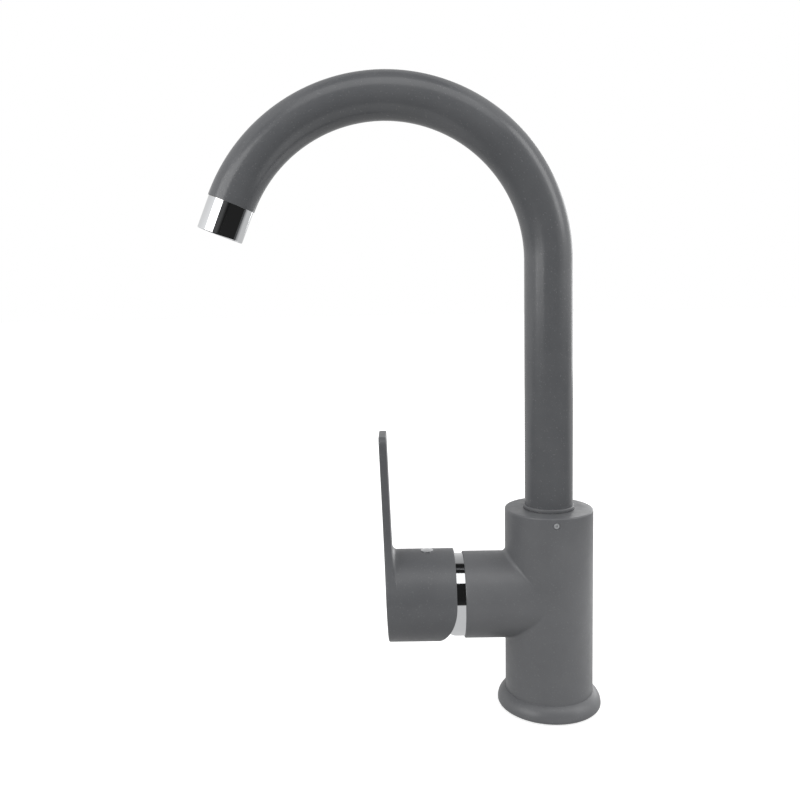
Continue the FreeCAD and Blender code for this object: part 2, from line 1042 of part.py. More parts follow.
def make_lock_screw():
    """The screw that runs in the spigot's groove and keeps the spout in its socket."""
    outer = body_radius() - size.lock_screw_sink
    inner = size.socket_dia / 2 + size.fit_gap
    screw = socket_screw(
        "spout_lock_screw",
        size.lock_screw_dia - size.lock_screw_clearance * 2,
        inner,
        outer,
        inner - size.lock_point_length,
        size.lock_point_dia,
        size.lock_key_width,
        size.lock_key_depth,
    )
    place(screw, 0, 0, lock_screw_height(), (1, 0, 0), 90.0)


# Outlet

def make_outlet_nipple():
    """The brass end soldered into the tube, with the thread for the aerator."""
    bore = size.nipple_bore / 2
    plug = size.tube_dia / 2 - size.tube_wall - size.nipple_plug_gap
    thread = size.nipple_thread_dia / 2
    body = turned_part(
        "outlet_nipple",
        (bore, -size.nipple_plug_length),
        (plug, -size.nipple_plug_length),
        (plug, 0),
        (thread, 0),
        (thread, size.nipple_thread_length),
        (bore, size.nipple_thread_length),
    )
    place_at_outlet(body)


def make_aerator_shell():
    """The chrome shell that screws over the nipple and holds the insert on its lip."""
    thread, seat = aerator_thread(), aerator_seat()
    outer = thread + size.aerator_wall
    lip = seat - size.aerator_lip
    end = lip_start() + size.aerator_lip_height
    corner = size.aerator_edge_round
    body = turned_part(
        "aerator_shell",
        (thread, size.aerator_gap),
        (outer - corner / 2, size.aerator_gap),
        (outer, size.aerator_gap + corner / 2, corner / 2),
        (outer, end - corner),
        (outer - corner, end, corner),
        (lip, end),
        (lip, lip_start()),
        (seat, lip_start()),
        (seat, insert_seat()),
        (thread, insert_seat()),
    )
    place_at_outlet(body)


def make_aerator_seal():
    low = size.nipple_thread_length + size.aerator_seal_room
    inner, high = size.aerator_seal_inner_dia / 2, low + size.aerator_seal_thickness
    body = tube_part("aerator_seal", inner, aerator_seat(), low, high)
    place_at_outlet(body)


def make_aerator_insert():
    """The plastic insert that breaks the stream up, with a ring of windows about its middle."""
    radius = aerator_seat() - size.fit_gap
    low, high = insert_seat(), screen_start()
    body = turned_part("aerator_insert", (0, low), (radius, low), (radius, high), (0, high))
    centre = sketch(body, "centre_hole", "XY_Plane", low)
    circle(centre, 0, 0, size.insert_centre_hole)
    pocket(body, centre, size.insert_length, reverse=True)
    window = sketch(body, "window", "XY_Plane", low)
    circle(window, size.insert_window_circle / 2, 0, size.insert_window_dia)
    cut = pocket(body, window, size.insert_length, reverse=True)
    around(body, cut, size.insert_window_count)
    place_at_outlet(body)


def make_aerator_screen():
    """The perforated disc at the mouth, resting on the shell's lip."""
    radius = aerator_seat() - size.fit_gap
    low, high = screen_start(), lip_start()
    body = turned_part("aerator_screen", (0, low), (radius, low), (radius, high), (0, high))
    middle = sketch(body, "middle_hole", "XY_Plane", low)
    circle(middle, 0, 0, size.screen_hole_dia)
    pocket(body, middle, high - low, reverse=True)
    for turn in range(1, SIZES["screen_rings"] + 1):
        hole = sketch(body, f"hole_ring_{turn}", "XY_Plane", low)
        circle(hole, size.screen_pitch * turn, 0, size.screen_hole_dia)
        cut = pocket(body, hole, high - low, reverse=True)
        around(body, cut, 6 * turn)
    place_at_outlet(body)


# Cartridge

def port_places():
    """Centres of the two inlets and the outlet, up and across from the cartridge's axis."""
    up, side = size.inlet_port_up, size.inlet_port_side
    return [(up, side), (up, -side), (-size.outlet_port_down, as_size(0))]


def port_recess_depth():
    return size.port_seal_section - size.cartridge_lift + size.port_seal_room


def make_cartridge_base():
    """The plastic base with its three ports, a ring recess on both faces and two locating pegs."""
    body = new_body("cartridge_base")
    radius = size.cartridge_dia / 2
    disc = sketch(body, "disc", "XY_Plane", base_bottom())
    circle(disc, 0, 0, radius * 2)
    pad(body, disc, size.cartridge_base_thickness)
    pegs = sketch(body, "pegs", "XY_Plane", base_bottom())
    for side in (1, -1):
        circle(pegs, size.peg_up, peg_side() * side, size.peg_dia)
    pad(body, pegs, size.peg_length + base_bottom(), reverse=True)
    ports = sketch(body, "ports", "XY_Plane", base_bottom())
    lower = sketch(body, "lower_recesses", "XY_Plane", base_bottom())
    upper = sketch(body, "upper_recesses", "XY_Plane", base_top())
    recess = size.port_seal_dia + size.port_seal_section + size.port_seal_play * 2
    for up, across in port_places():
        circle(ports, up, across, size.port_dia)
        circle(lower, up, across, recess)
        circle(upper, up, across, recess)
    pocket(body, ports, size.cartridge_base_thickness, reverse=True)
    pocket(body, lower, port_recess_depth(), reverse=True)
    pocket(body, upper, size.port_seal_section + size.port_seal_room)
    place_on_cartridge_axis(body)


def make_port_seals():
    """Two sets of three rubber rings: one under the base, one between the base and the fixed disc."""
    heights = {
        "base_port_seals": (size.port_seal_section + size.port_seal_room) / 2,
        "disc_port_seals": base_top() - (size.port_seal_section + size.port_seal_room) / 2,
    }
    for label, height in heights.items():
        rings = []
        for number, (up, across) in enumerate(port_places(), start=1):
            torus = ring(f"{label}_{number}", size.port_seal_dia, size.port_seal_section)
            place(torus, up, across, height)
            rings.append(torus)
        group = doc.addObject("Part::Compound", label)
        group.Label = label
        group.Links = rings
        doc.recompute()
        place_on_cartridge_axis(group)
        sub_parts.append(group)


def make_fixed_disc():
    """The ceramic disc with the three ports, which stays still."""
    body = new_body("fixed_disc")
    disc = sketch(body, "disc", "XY_Plane", base_top())
    circle(disc, 0, 0, (housing_bore() - size.disc_play) * 2)
    pad(body, disc, size.fixed_disc_thickness)
    ports = sketch(body, "ports", "XY_Plane", base_top())
    for up, across in port_places():
        circle(ports, up, across, size.port_dia)
    pocket(body, ports, size.fixed_disc_thickness, reverse=True)
    place_on_cartridge_axis(body)


def moving_disc_radius():
    """Large enough to cover the ports, and clear of the housing with the tap shut."""
    return housing_bore() - size.moving_disc_down - size.disc_play


def make_moving_disc():
    """The ceramic disc that slides on the fixed one.

    Its pocket stands between the ports while the tap is shut.
    Sliding up, it joins the inlets to the outlet, and turning favours one inlet.
    """
    body = new_body("moving_disc")
    disc = sketch(body, "disc", "XY_Plane", moving_disc_bottom())
    circle(disc, -size.moving_disc_down, 0, moving_disc_radius() * 2)
    pad(body, disc, size.moving_disc_thickness)
    mixing = sketch(body, "mixing_pocket", "XY_Plane", moving_disc_bottom())
    circle(mixing, 0, 0, size.mixing_pocket_dia)
    pocket(body, mixing, size.mixing_pocket_depth, reverse=True)
    slot = sketch(body, "mixing_slot", "XY_Plane", moving_disc_bottom())
    half = size.mixing_slot_width / 2
    rectangle(slot, -size.mixing_slot_length, 0, -half, half)
    pocket(body, slot, size.mixing_pocket_depth, reverse=True)
    place_on_cartridge_axis(body)


def make_disc_carrier():
    """The plastic carrier on the moving disc, flat on two sides, with the hole for the stem's ball."""
    body = new_body("disc_carrier")
    disc = sketch(body, "disc", "XY_Plane", moving_disc_top())
    circle(disc, -size.moving_disc_down, 0, moving_disc_radius() * 2)
    pad(body, disc, size.carrier_thickness)
    flats = sketch(body, "flats", "XY_Plane", moving_disc_top())
    reach, half = moving_disc_radius() * 2, size.carrier_width / 2
    rectangle(flats, -reach, reach, half, reach)
    rectangle(flats, -reach, reach, -reach, -half)
    pocket(body, flats, size.carrier_thickness, reverse=True)
    hole = sketch(body, "ball_hole", "XY_Plane", moving_disc_top())
    half = size.ball_dia / 2 + size.ball_play
    rectangle(hole, -half, half, -half, half)
    pocket(body, hole, size.carrier_thickness, reverse=True)
    place_on_cartridge_axis(body)


def make_cartridge_housing():
    """The plastic shell of the cartridge: a skirt, a shoulder for the ring nut and a neck."""
    outer, inner = size.cartridge_dia / 2, housing_bore()
    neck, bore = neck_radius(), neck_bore()
    ceiling = shoulder() - size.cartridge_top_thickness
    body = turned_part(
        "cartridge_housing",
        (inner, base_top()),
        (outer, base_top()),
        (outer, shoulder()),
        (neck, shoulder()),
        (neck, neck_top()),
        (bore, neck_top()),
        (bore, ceiling),
        (inner, ceiling),
    )
    place_on_cartridge_axis(body)


def make_turret():
    """The turning sleeve in the neck. Its slot lets the stem tilt, and its guides turn the disc carrier."""
    low, high = flange_bottom(), neck_top() + size.turret_proud
    radius, flange = turret_radius(), housing_bore() - size.disc_play
    body = turned_part(
        "turret",
        (0, low),
        (flange, low),
        (flange, flange_top()),
        (radius, flange_top()),
        (radius, high),
        (0, high),
    )
    guide_bottom = moving_disc_top() + size.guide_gap
    guides = sketch(body, "guides", "XY_Plane", guide_bottom)
    near = size.carrier_width / 2 + size.guide_play
    far = near + size.guide_width
    half = size.guide_length / 2
    rectangle(guides, -half, half, near, far)
    rectangle(guides, -half, half, -far, -near)
    pad(body, guides, low - guide_bottom)

    side = size.stem_width / 2 + size.stem_slot_play
    above, below = high + PAST, low - PAST
    swing_out = side + (above - pivot()) * tangent(size.tilt_angle)
    swing_in = side + (pivot() - below) * tangent(size.tilt_angle)
    slot = sketch(body, "stem_slot", "XZ_Plane")
    outline(
        slot,
        (side, pivot()),
        (side, above),
        (-swing_out, above),
        (-side, pivot()),
        (-side, below),
        (swing_in, below),
    )
    pocket(body, slot, size.stem_width + size.stem_slot_play, both=True)
    pin = sketch(body, "pin_hole", "XZ_Plane")
    circle(pin, 0, pivot(), size.pin_dia)
    pocket(body, pin, radius * 2, both=True)
    place_on_cartridge_axis(body)


def make_stem():
    """The stem: a ball that drives the carrier, a neck, and a square shank with the pin's hole."""
    body = new_body("stem")
    ball = size.ball_dia / 2
    neck = size.stem_neck_dia / 2
    centre = ball_centre()
    start = pivot() - size.shank_inward
    profile = sketch(body, "ball", "XZ_Plane")
    outline(
        profile,
        (0, centre - ball),
        (neck, centre + on_circle(ball, neck), ball),
        (neck, start + PAST),
        (0, start + PAST),
    )
    revolve(body, profile)
    half = size.stem_width / 2
    shank = sketch(body, "shank", "XY_Plane", start)
    rectangle(shank, -half, half, -half, half)
    pad(body, shank, shank_end() - start)
    hole = sketch(body, "pin_hole", "XZ_Plane")
    circle(hole, 0, pivot(), size.pin_dia + size.pin_play * 2)
    pocket(body, hole, size.stem_width * 2, both=True)
    place_on_cartridge_axis(body)


def make_stem_pin():
    """The steel pin that the stem tilts on, held in the turret."""
    pin = doc.addObject("Part::Cylinder", "stem_pin")
    pin.setExpression("Radius", (size.pin_dia / 2).formula)
    length = (turret_radius() - size.pin_sink) * 2
    pin.setExpression("Height", length.formula)
    place(pin, -size.seat_offset - pivot(), length / 2, size.arm_height, (1, 0, 0), 90.0)
    sub_parts.append(pin)


def make_cartridge_nut():
    """The brass ring nut that presses the cartridge home, with four notches for its spanner."""
    low, high = shoulder(), nut_top()
    outer, bore = nut_radius(), neck_radius() + size.nut_bore_play
    body = tube_part("cartridge_nut", bore, outer, low, high)
    notch = sketch(body, "notch", "XY_Plane", high)
    half = size.nut_notch_width / 2
    rectangle(notch, bore - PAST, outer + PAST, -half, half)
    cut = pocket(body, notch, size.nut_notch_depth)
    around(body, cut, size.nut_notch_count)
    place_on_cartridge_axis(body)


def make_dome_cover():
    """The chrome dome, screwed on the arm's stub: a skirt, and a shoulder on a ball about the pivot."""
    skirt, ball, soft = dome_radius(), dome_ball(), size.dome_shoulder_round
    inner, hollow = skirt - size.dome_wall, ball - size.dome_wall
    centre = on_circle(ball - soft, skirt - soft)
    touch = ball / (ball - soft)
    low = arm_end()
    high = low + size.dome_length
    seat = low + size.stub_length + size.dome_thread_clearance
    thread = stub_radius() + size.dome_thread_clearance
    body = turned_part(
        "dome_cover",
        (thread, low),
        (skirt, low),
        (skirt, pivot() + centre),
        ((skirt - soft) * touch, pivot() + centre * touch, soft),
        (on_circle(ball, high - pivot()), high, ball),
        (on_circle(hollow, high - pivot()), high),
        (inner, pivot() + on_circle(hollow, inner), -hollow),
        (inner, seat),
        (thread, seat),
    )
    place_on_cartridge_axis(body)


# Lever

def front_plane(up):
    """How far out the paddle's front plane lies, at this height above the hub's axis."""
    return pivot() + dome_radius() + size.front_over_dome + up * tangent(size.lever_lean)


def on_front_plane(edge):
    """Tells whether an edge of the lever lies on its front plane."""
    return all(abs(point.z - front_plane(point.x).number) < 0.001 for point in edge.discretize(5))


def cut_paddle_back(body, inner, outer, thickness, blend):
    """Faces the paddle's back parallel to its front, and leaves a hollow blend around the hub."""
    along, across = cosine(size.lever_lean), sine(size.lever_lean)
    middle = front_plane(0) - thickness

    def leant(reach, depth):
        return reach * along + depth * across, middle + reach * across - depth * along

    profile = sketch(body, "back", "XZ_Plane")
    foot, tip = leant(as_size(0), as_size(0)), leant(as_size(0), -blend)
    axis_line(profile, foot[0], foot[1], tip[0] - foot[0], tip[1] - foot[1])
    bottom = blend + inner
    outline(
        profile,
        leant(outer, as_size(0)),
        leant(outer, bottom),
        leant(inner, bottom),
        leant(inner, blend),
        (*leant(inner + blend, as_size(0)), -blend),
    )
    groove(body, profile, "Axis0")


def make_lever():
    """The hub and the paddle, cast in one piece."""
    body = new_body("lever")
    hub, start = hub_radius(), hub_start()
    half = size.paddle_width / 2
    flare = size.paddle_flare
    corner = size.paddle_corner
    top = size.paddle_top
    reach = hub + flare
    cos_touch = (half + flare) / reach
    sin_touch = root(1 - cos_touch * cos_touch)
    touch_up, touch_across = hub * sin_touch, hub * cos_touch
    flare_up = reach * sin_touch
    thickness = size.paddle_thickness
    blend = size.paddle_blend
    beyond = front_plane(top) + PAST
    behind = front_plane(-hub) - thickness - blend - PAST
    paddle = sketch(body, "paddle", "XY_Plane", behind)
    outline(
        paddle,
        (0, -hub, hub),
        (touch_up, -touch_across, hub),
        (flare_up, -half, -flare),
        (top - corner, -half),
        (top, corner - half, corner),
        (top, half - corner),
        (top - corner, half, corner),
        (flare_up, half),
        (touch_up, touch_across, -flare),
        (0, hub, hub),
        (-hub, 0, hub),
    )
    pad(body, paddle, beyond - behind)
    low, high = -hub - PAST, top + PAST
    front = sketch(body, "front", "XZ_Plane")
    outline(
        front,
        (low, front_plane(low)),
        (high, front_plane(high)),
        (high, beyond + PAST),
        (low, beyond + PAST),
    )
    pocket(body, front, (hub + PAST) * 2, both=True)
    cut_paddle_back(body, hub - size.blend_bite, top + PAST * 2, thickness, blend)
    disc = sketch(body, "hub", "XY_Plane", start)
    circle(disc, 0, 0, hub * 2)
    pad(body, disc, front_plane(0) - thickness / 2 - start)
    dress(body, "Fillet", "front_round", on_front_plane, size.paddle_edge_round)

    heel = sketch(body, "heel", "XZ_Plane")
    bow, begin = size.hub_heel_radius, size.hub_heel_start
    low = -hub - PAST
    outline(
        heel,
        (begin, start - PAST),
        (begin, start),
        (low, start + bow - on_circle(bow, begin - low), -bow),
        (low, start - PAST),
    )
    pocket(body, heel, (hub + PAST) * 2, both=True)

    hollow = sketch(body, "hollow", "XZ_Plane")
    inner, boss = hub_bore(), size.boss_dia / 2
    floor = front_plane(0) - size.hub_front_wall
    ball = boss_ball()
    outline(
        hollow,
        (0, start - PAST),
        (inner, start - PAST),
        (inner, floor),
        (boss, floor),
        (boss, pivot() + on_circle(ball, boss)),
        (0, pivot() + ball, ball),
    )
    groove(body, hollow)

    socket = sketch(body, "stem_socket", "XY_Plane", start)
    side = size.stem_width / 2 + size.stem_socket_play
    rectangle(socket, -side, side, -side, side)
    pocket(body, socket, shank_end() - start + size.clamp_screw_play, reverse=True)
    screw = sketch(body, "clamp_hole", "YZ_Plane")
    circle(screw, 0, clamp_screw_place(), size.clamp_screw_dia + size.clamp_screw_play * 2)
    pocket(body, screw, inner, reverse=True)
    cap = sketch(body, "cap_hole", "YZ_Plane", inner - PAST)
    circle(cap, 0, clamp_screw_place(), size.cap_dia + size.cap_play * 2)
    pocket(body, cap, hub, reverse=True)
    place_on_cartridge_axis(body)


def make_clamp_screw():
    """The screw in the hub's boss that bites on the stem."""
    low = size.stem_width / 2 + size.clamp_screw_play
    screw = socket_screw(
        "lever_clamp_screw",
        size.clamp_screw_dia,
        low,
        low + size.clamp_screw_length,
        None,
        None,
        size.clamp_key_width,
        size.clamp_key_depth,
    )
    place(screw, -size.seat_offset - clamp_screw_place(), 0, size.arm_height)


def make_index_cap():
    """The small plug over the clamp screw, slightly crowned."""
    radius = size.cap_dia / 2
    high = hub_radius() + size.cap_proud
    low = hub_bore() + size.cap_seat
    crown = size.cap_crown
    bow = (radius * radius + crown * crown) / (crown * 2)
    body = turned_part(
        "index_cap",
        (0, low),
        (radius, low),
        (radius, high - crown),
        (0, high, bow),
    )
    place(body, -size.seat_offset - clamp_screw_place(), 0, size.arm_height)


# Everything, in the order in which it goes together

make_body()
make_base_ring()
make_base_seal()
make_slide_washer()
make_spout_collar()
make_spout_tube()
make_spout_spigot()
make_spout_rings()
make_lock_screw()
make_outlet_nipple()
make_aerator_shell()
make_aerator_seal()
make_aerator_insert()
make_aerator_screen()
make_cartridge_base()
make_port_seals()
make_fixed_disc()
make_moving_disc()
make_disc_carrier()
make_cartridge_housing()
make_turret()
make_stem()
make_stem_pin()
make_cartridge_nut()
make_dome_cover()
make_lever()
make_clamp_screw()
make_index_cap()

# Nothing is written unless every object is sound

doc.recompute()
for item in doc.Objects:
    if "Invalid" in item.State or "Error" in item.State:
        raise RuntimeError(f"{item.Label} did not recompute: {item.State}")
for part in sub_parts:
    if part.Shape.isNull() or not part.Shape.isValid():
        raise RuntimeError(f"{part.Label} has no valid shape")

os.makedirs("parts", exist_ok=True)
for part in sub_parts:
    part.Shape.exportStep(f"parts/{part.Label}.step")
    print(f"{part.Label}: {len(part.Shape.Solids)} solid, {part.Shape.Volume / 1000:.2f} cm3")
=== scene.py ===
# %% [markdown]
# A swan-neck mixer tap, dressed for a picture.
#
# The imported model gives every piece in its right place, in metres, with its swivel and its
# lever already jointed. Its surfaces are flat triangles, though, and each has one plain colour.
# This lesson builds the pieces that show again as smooth meshes, from the same sizes, and
# gives every piece the finish that it has on the real tap. Sizes are written in millimetres,
# as a fitter would say them, and are turned into metres where a mesh is made.

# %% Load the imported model
import json
import math

import bmesh
import bpy
import numpy as np
from mathutils import Matrix, Vector

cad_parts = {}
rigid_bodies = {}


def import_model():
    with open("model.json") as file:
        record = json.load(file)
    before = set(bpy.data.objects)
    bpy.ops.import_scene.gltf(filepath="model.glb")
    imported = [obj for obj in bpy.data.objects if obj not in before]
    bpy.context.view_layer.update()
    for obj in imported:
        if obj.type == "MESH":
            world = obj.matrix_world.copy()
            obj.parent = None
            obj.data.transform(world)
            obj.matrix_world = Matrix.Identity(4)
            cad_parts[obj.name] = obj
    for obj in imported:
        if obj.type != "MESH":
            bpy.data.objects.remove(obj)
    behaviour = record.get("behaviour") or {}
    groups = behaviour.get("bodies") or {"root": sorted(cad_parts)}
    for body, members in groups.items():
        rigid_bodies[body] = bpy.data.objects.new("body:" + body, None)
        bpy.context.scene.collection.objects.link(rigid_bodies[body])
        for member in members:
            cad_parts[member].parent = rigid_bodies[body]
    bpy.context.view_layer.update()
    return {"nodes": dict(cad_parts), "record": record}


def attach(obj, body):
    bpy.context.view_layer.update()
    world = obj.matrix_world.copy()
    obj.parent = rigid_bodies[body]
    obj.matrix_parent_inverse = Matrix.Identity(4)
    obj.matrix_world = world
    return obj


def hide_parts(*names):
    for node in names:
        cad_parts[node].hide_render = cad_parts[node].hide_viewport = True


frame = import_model()
nodes = frame["nodes"]
scene = bpy.context.scene
MM = 0.001

# %% [markdown]
# The camera comes first, because every later choice is judged through it. It stands where the
# photographer stood: level with the middle of the spout's upright, a little left of it, looking
# slightly down. Its place and its turn were fitted to the tap's own circles and lines. The lens
# is shifted, as on a view camera, so the tap sits where it sits in the photograph without turning
# the view.

# %% Camera
FOCAL_PIXELS, FRAME_PIXELS, SENSOR = 849.1, 800, 36.0
CENTRE_PIXEL = (385.0, 370.0)
CAMERA_PLACE = (-79.061, -441.149, 224.925)
PITCH, YAW, ROLL = 0.098, -0.014, -0.019

forward = Vector((math.sin(YAW) * math.cos(PITCH), math.cos(YAW) * math.cos(PITCH), -math.sin(PITCH)))
level_right = Vector((math.cos(YAW), -math.sin(YAW), 0.0))
level_up = level_right.cross(forward)
right = level_right * math.cos(ROLL) + level_up * math.sin(ROLL)
up = level_up * math.cos(ROLL) - level_right * math.sin(ROLL)

camera = bpy.data.objects.new("camera", bpy.data.cameras.new("camera"))
scene.collection.objects.link(camera)
camera.data.sensor_width = SENSOR
camera.data.lens = FOCAL_PIXELS / FRAME_PIXELS * SENSOR
camera.data.shift_x = (FRAME_PIXELS / 2 - CENTRE_PIXEL[0]) / FRAME_PIXELS
camera.data.shift_y = (CENTRE_PIXEL[1] - FRAME_PIXELS / 2) / FRAME_PIXELS
camera.data.clip_start, camera.data.clip_end = 0.01, 50.0
turn = Matrix((right, up, -forward)).transposed().to_4x4()
camera.matrix_world = Matrix.Translation(Vector(CAMERA_PLACE) * MM) @ turn
scene.camera = camera
scene.view_settings.view_transform = "Standard"
print(f"lens {camera.data.lens:.1f} mm, shift {camera.data.shift_x:.4f}, {camera.data.shift_y:.4f}")

# %% [markdown]
# Node trees are what materials, the world and Geometry Nodes all run on. Writing one in a script
# is mostly adding a node, setting its sockets and joining it to the next, so one small helper
# does all three. A value given for a socket is either a plain number or colour, which is set on
# the socket, or another node's output, which is linked to it.

# %% A helper for node trees
def add_node(tree, kind, options=None, **sockets):
    """Adds a node. Options are its settings, and the other words are its sockets."""
    node = tree.nodes.new(kind)
    for name, value in (options or {}).items():
        setattr(node, name, value)
    for name, value in sockets.items():
        name = name.replace("_", " ")
        socket = next(s for s in node.inputs if s.name.lower() == name.lower() and s.enabled)
        if isinstance(value, bpy.types.NodeSocket):
            tree.links.new(value, socket)
        else:
            socket.default_value = value
    return node


print("colour management:", scene.view_settings.view_transform)

# %% [markdown]
# Three kinds of node come back so often that each gets a helper of its own. One maps a range
# onto another, one reckons with two numbers, and one goes from a number to another by a factor.
# With a kind of ray as the factor, the last one gives each kind of ray its own answer.

# %% Helpers that reckon in a node tree
def ramp(tree, value, from_low, from_high, low, high):
    """A value that runs from low to high as another runs over a range."""
    node = add_node(tree, "ShaderNodeMapRange", Value=value, From_Min=from_low, From_Max=from_high,
                    To_Min=low, To_Max=high)
    return node.outputs["Result"]


def reckon(tree, operation, first, second=0.0):
    """One Math node, on outputs or plain numbers."""
    node = add_node(tree, "ShaderNodeMath", {"operation": operation})
    for socket, value in zip(node.inputs, (first, second)):
        if isinstance(value, bpy.types.NodeSocket):
            tree.links.new(value, socket)
        else:
            socket.default_value = value
    return node.outputs["Value"]


def choose(tree, factor, first, second):
    """The first number where the factor is 0, and the second where it is 1."""
    mix = add_node(tree, "ShaderNodeMix", {"data_type": "FLOAT"}, Factor=factor, A=first, B=second)
    return mix.outputs["Result"]


print("helpers for node trees: add_node, ramp, reckon, choose")

# %% [markdown]
# The photograph is a catalogue picture: soft light from all round, a white ground, and chrome
# that shows white boxes between black bands. Chrome has no colour of its own, so its bands are
# the studio's, and they can be read backwards: each place on a chrome cylinder looks in one
# direction only. Read so, the studio is dark in front, where the photographer stands, and dark
# overhead. It has a pale wall at either side. Both get duller towards the back and with height,
# and in front of the left one the dark is a little lighter.
#
# Each kind of ray gets its own answer from the world. The camera sees white, shiny surfaces see
# that room, and matt surfaces get a soft light that is stronger from the right and from behind.

# %% World
LEFT_WALL, RIGHT_WALL, BACK_WALL, BESIDE_BOX, DARK = 1.2, 1.24, 0.74, 0.085, 0.014
SOFT_FRONT, SOFT_BACK, SOFT_RIGHT = 0.60, 0.68, 0.46
# Bearings in radians: 0 is the photographer's side, and the right is positive
LEFT_END, LEFT_DULLING = (-1.08, -1.02), (-2.9, -1.2)
RIGHT_END, RIGHT_DULLING = (0.6, 1.2), (2.2, 3.0)
BOX_SIDE = (-0.2, 0.02)
# Heights as the sine of the elevation
FADE_UP, CEILING, FADED = (0.1, 0.9), (0.90, 0.94), 0.5

world = bpy.data.worlds.new("studio")
scene.world = world
world.use_nodes = True
tree = world.node_tree
tree.nodes.clear()
ray = add_node(tree, "ShaderNodeLightPath")
looking = add_node(tree, "ShaderNodeTexCoord").outputs["Generated"]
direction = add_node(tree, "ShaderNodeSeparateXYZ", Vector=looking)
across, into, aloft = (direction.outputs[axis] for axis in "XYZ")
bearing = reckon(tree, "ARCTAN2", across, reckon(tree, "MULTIPLY", into, -1.0))

left_end = ramp(tree, bearing, *LEFT_END, 1.0, 0.0)
left_wall = reckon(tree, "MULTIPLY", ramp(tree, bearing, *LEFT_DULLING, BACK_WALL, LEFT_WALL), left_end)
right_end = ramp(tree, bearing, *RIGHT_END, 0.0, 1.0)
right_wall = reckon(tree, "MULTIPLY", ramp(tree, bearing, *RIGHT_DULLING, RIGHT_WALL, BACK_WALL), right_end)
ceiling = ramp(tree, aloft, *CEILING, 1.0, 0.0)
fade = reckon(tree, "MULTIPLY", ramp(tree, aloft, *FADE_UP, 1.0, FADED), ceiling)
walls = reckon(tree, "MULTIPLY", reckon(tree, "MAXIMUM", left_wall, right_wall), fade)
room = reckon(tree, "MAXIMUM", walls, ramp(tree, bearing, *BOX_SIDE, BESIDE_BOX, DARK))

soft_depth = ramp(tree, into, -1.0, 1.0, SOFT_FRONT, SOFT_BACK)
soft = reckon(tree, "ADD", soft_depth, ramp(tree, across, 0.0, 1.0, 0.0, SOFT_RIGHT))
off_camera = choose(tree, ray.outputs["Is Glossy Ray"], soft, room)
strength = choose(tree, ray.outputs["Is Camera Ray"], off_camera, 1.0)
background = add_node(tree, "ShaderNodeBackground", Color=(1, 1, 1, 1), Strength=strength)
add_node(tree, "ShaderNodeOutputWorld", Surface=background.outputs["Background"])
print(f"world: {len(tree.nodes)} nodes")

# %% [markdown]
# Four area lamps do what the photographer's boxes did. The low one at the front left is the
# white band on the aerator and the sheen along the left of the arch. The high one in front is
# the white band on the arm's chrome, and the broad light on the upper half of every round
# thing. The one at the back right draws the pale line down the right-hand edges, and the tall one
# at the right the sheen along the arch's right shoulder. Each is aimed at the place whose highlight
# it makes, and none of them shows in the picture.

# %% Lamps
LAMP_DISTANCE = 1.3


def softbox(name, target, azimuth, elevation, size, power):
    """A soft lamp that faces a place on the tap. Azimuth 0 is the camera's side, and 90 is the right."""
    side, rise = math.radians(azimuth), math.radians(elevation)
    away = Vector((math.sin(side) * math.cos(rise), -math.cos(side) * math.cos(rise), math.sin(rise)))
    lamp = bpy.data.objects.new(name, bpy.data.lights.new(name, "AREA"))
    scene.collection.objects.link(lamp)
    lamp.data.shape = "RECTANGLE"
    lamp.data.size, lamp.data.size_y = size
    lamp.data.energy = power
    lamp.location = Vector(target) * MM + away * LAMP_DISTANCE
    lamp.rotation_mode = "QUATERNION"
    lamp.rotation_quaternion = away.to_track_quat("Z", "Y")
    lamp.visible_camera = False


softbox("front_left_box", (-165, 0, 262), azimuth=-48, elevation=15, size=(1.0, 0.80), power=7.0)
softbox("front_high_box", (-50, 0, 80), azimuth=3, elevation=62.5, size=(1.3, 0.70), power=3.8)
softbox("back_right_box", (0, 0, 100), azimuth=145, elevation=12, size=(1.0, 0.7), power=4.0)
softbox("right_tall_box", (-20, 0, 280), azimuth=72, elevation=28, size=(0.5, 0.9), power=3.6)
print(f"{len(bpy.data.lights)} lamps")

# %% [markdown]
# The ground is a plain white sheet. It has to stay white in the picture and still take the soft
# shadow that keeps the tap from floating. For the camera it glows and scatters: lit, the two
# add up past white, and under the tap only the scattered part goes missing. Matt surfaces get
# less light back from it, because in the photograph the underside of the arch is the darkest
# part of the tube. The chrome sees a light grey table round the tap that ends a third of a metre
# in front of it: that is the light grey on the lower half of the arm's band, and the black on
# the aerator, which stands too high to see the table.

# %% Floor
SQUARE = (-1, -1), (1, -1), (1, 1), (-1, 1)
FLOOR_HALF, BELOW_TAP = 6, 0.0003
GLOW, SCATTER, SCATTER_TO_MATT = 0.72, 0.62, 0.42
# Stretches of the sheet in metres, and the tones that chrome sees from one end of them to the other
TABLE_END, TABLE_DIMMEST = (0.28, 0.36), 0.02
TABLE_ACROSS, TABLE_TONES = (0.02, 0.10), (0.66, 1.2)
BEHIND_TAP, BEHIND_TONES = (-0.08, 0.28), (0.02, 0.64)


def between(tree, factor, first, second):
    """A colour between two others. Either is three numbers or another node's output."""
    first, second = (end if isinstance(end, bpy.types.NodeSocket) else (*end, 1) for end in (first, second))
    mix = add_node(tree, "ShaderNodeMix", {"data_type": "RGBA"}, Factor=factor, A=first, B=second)
    return mix.outputs["Result"]


floor_mesh = bpy.data.meshes.new("floor")
floor_corners = [(x * FLOOR_HALF, y * FLOOR_HALF, 0) for x, y in SQUARE]
floor_mesh.from_pydata(floor_corners, [], [(0, 1, 2, 3)])
floor = bpy.data.objects.new("floor", floor_mesh)
scene.collection.objects.link(floor)
floor.location.z = -BELOW_TAP

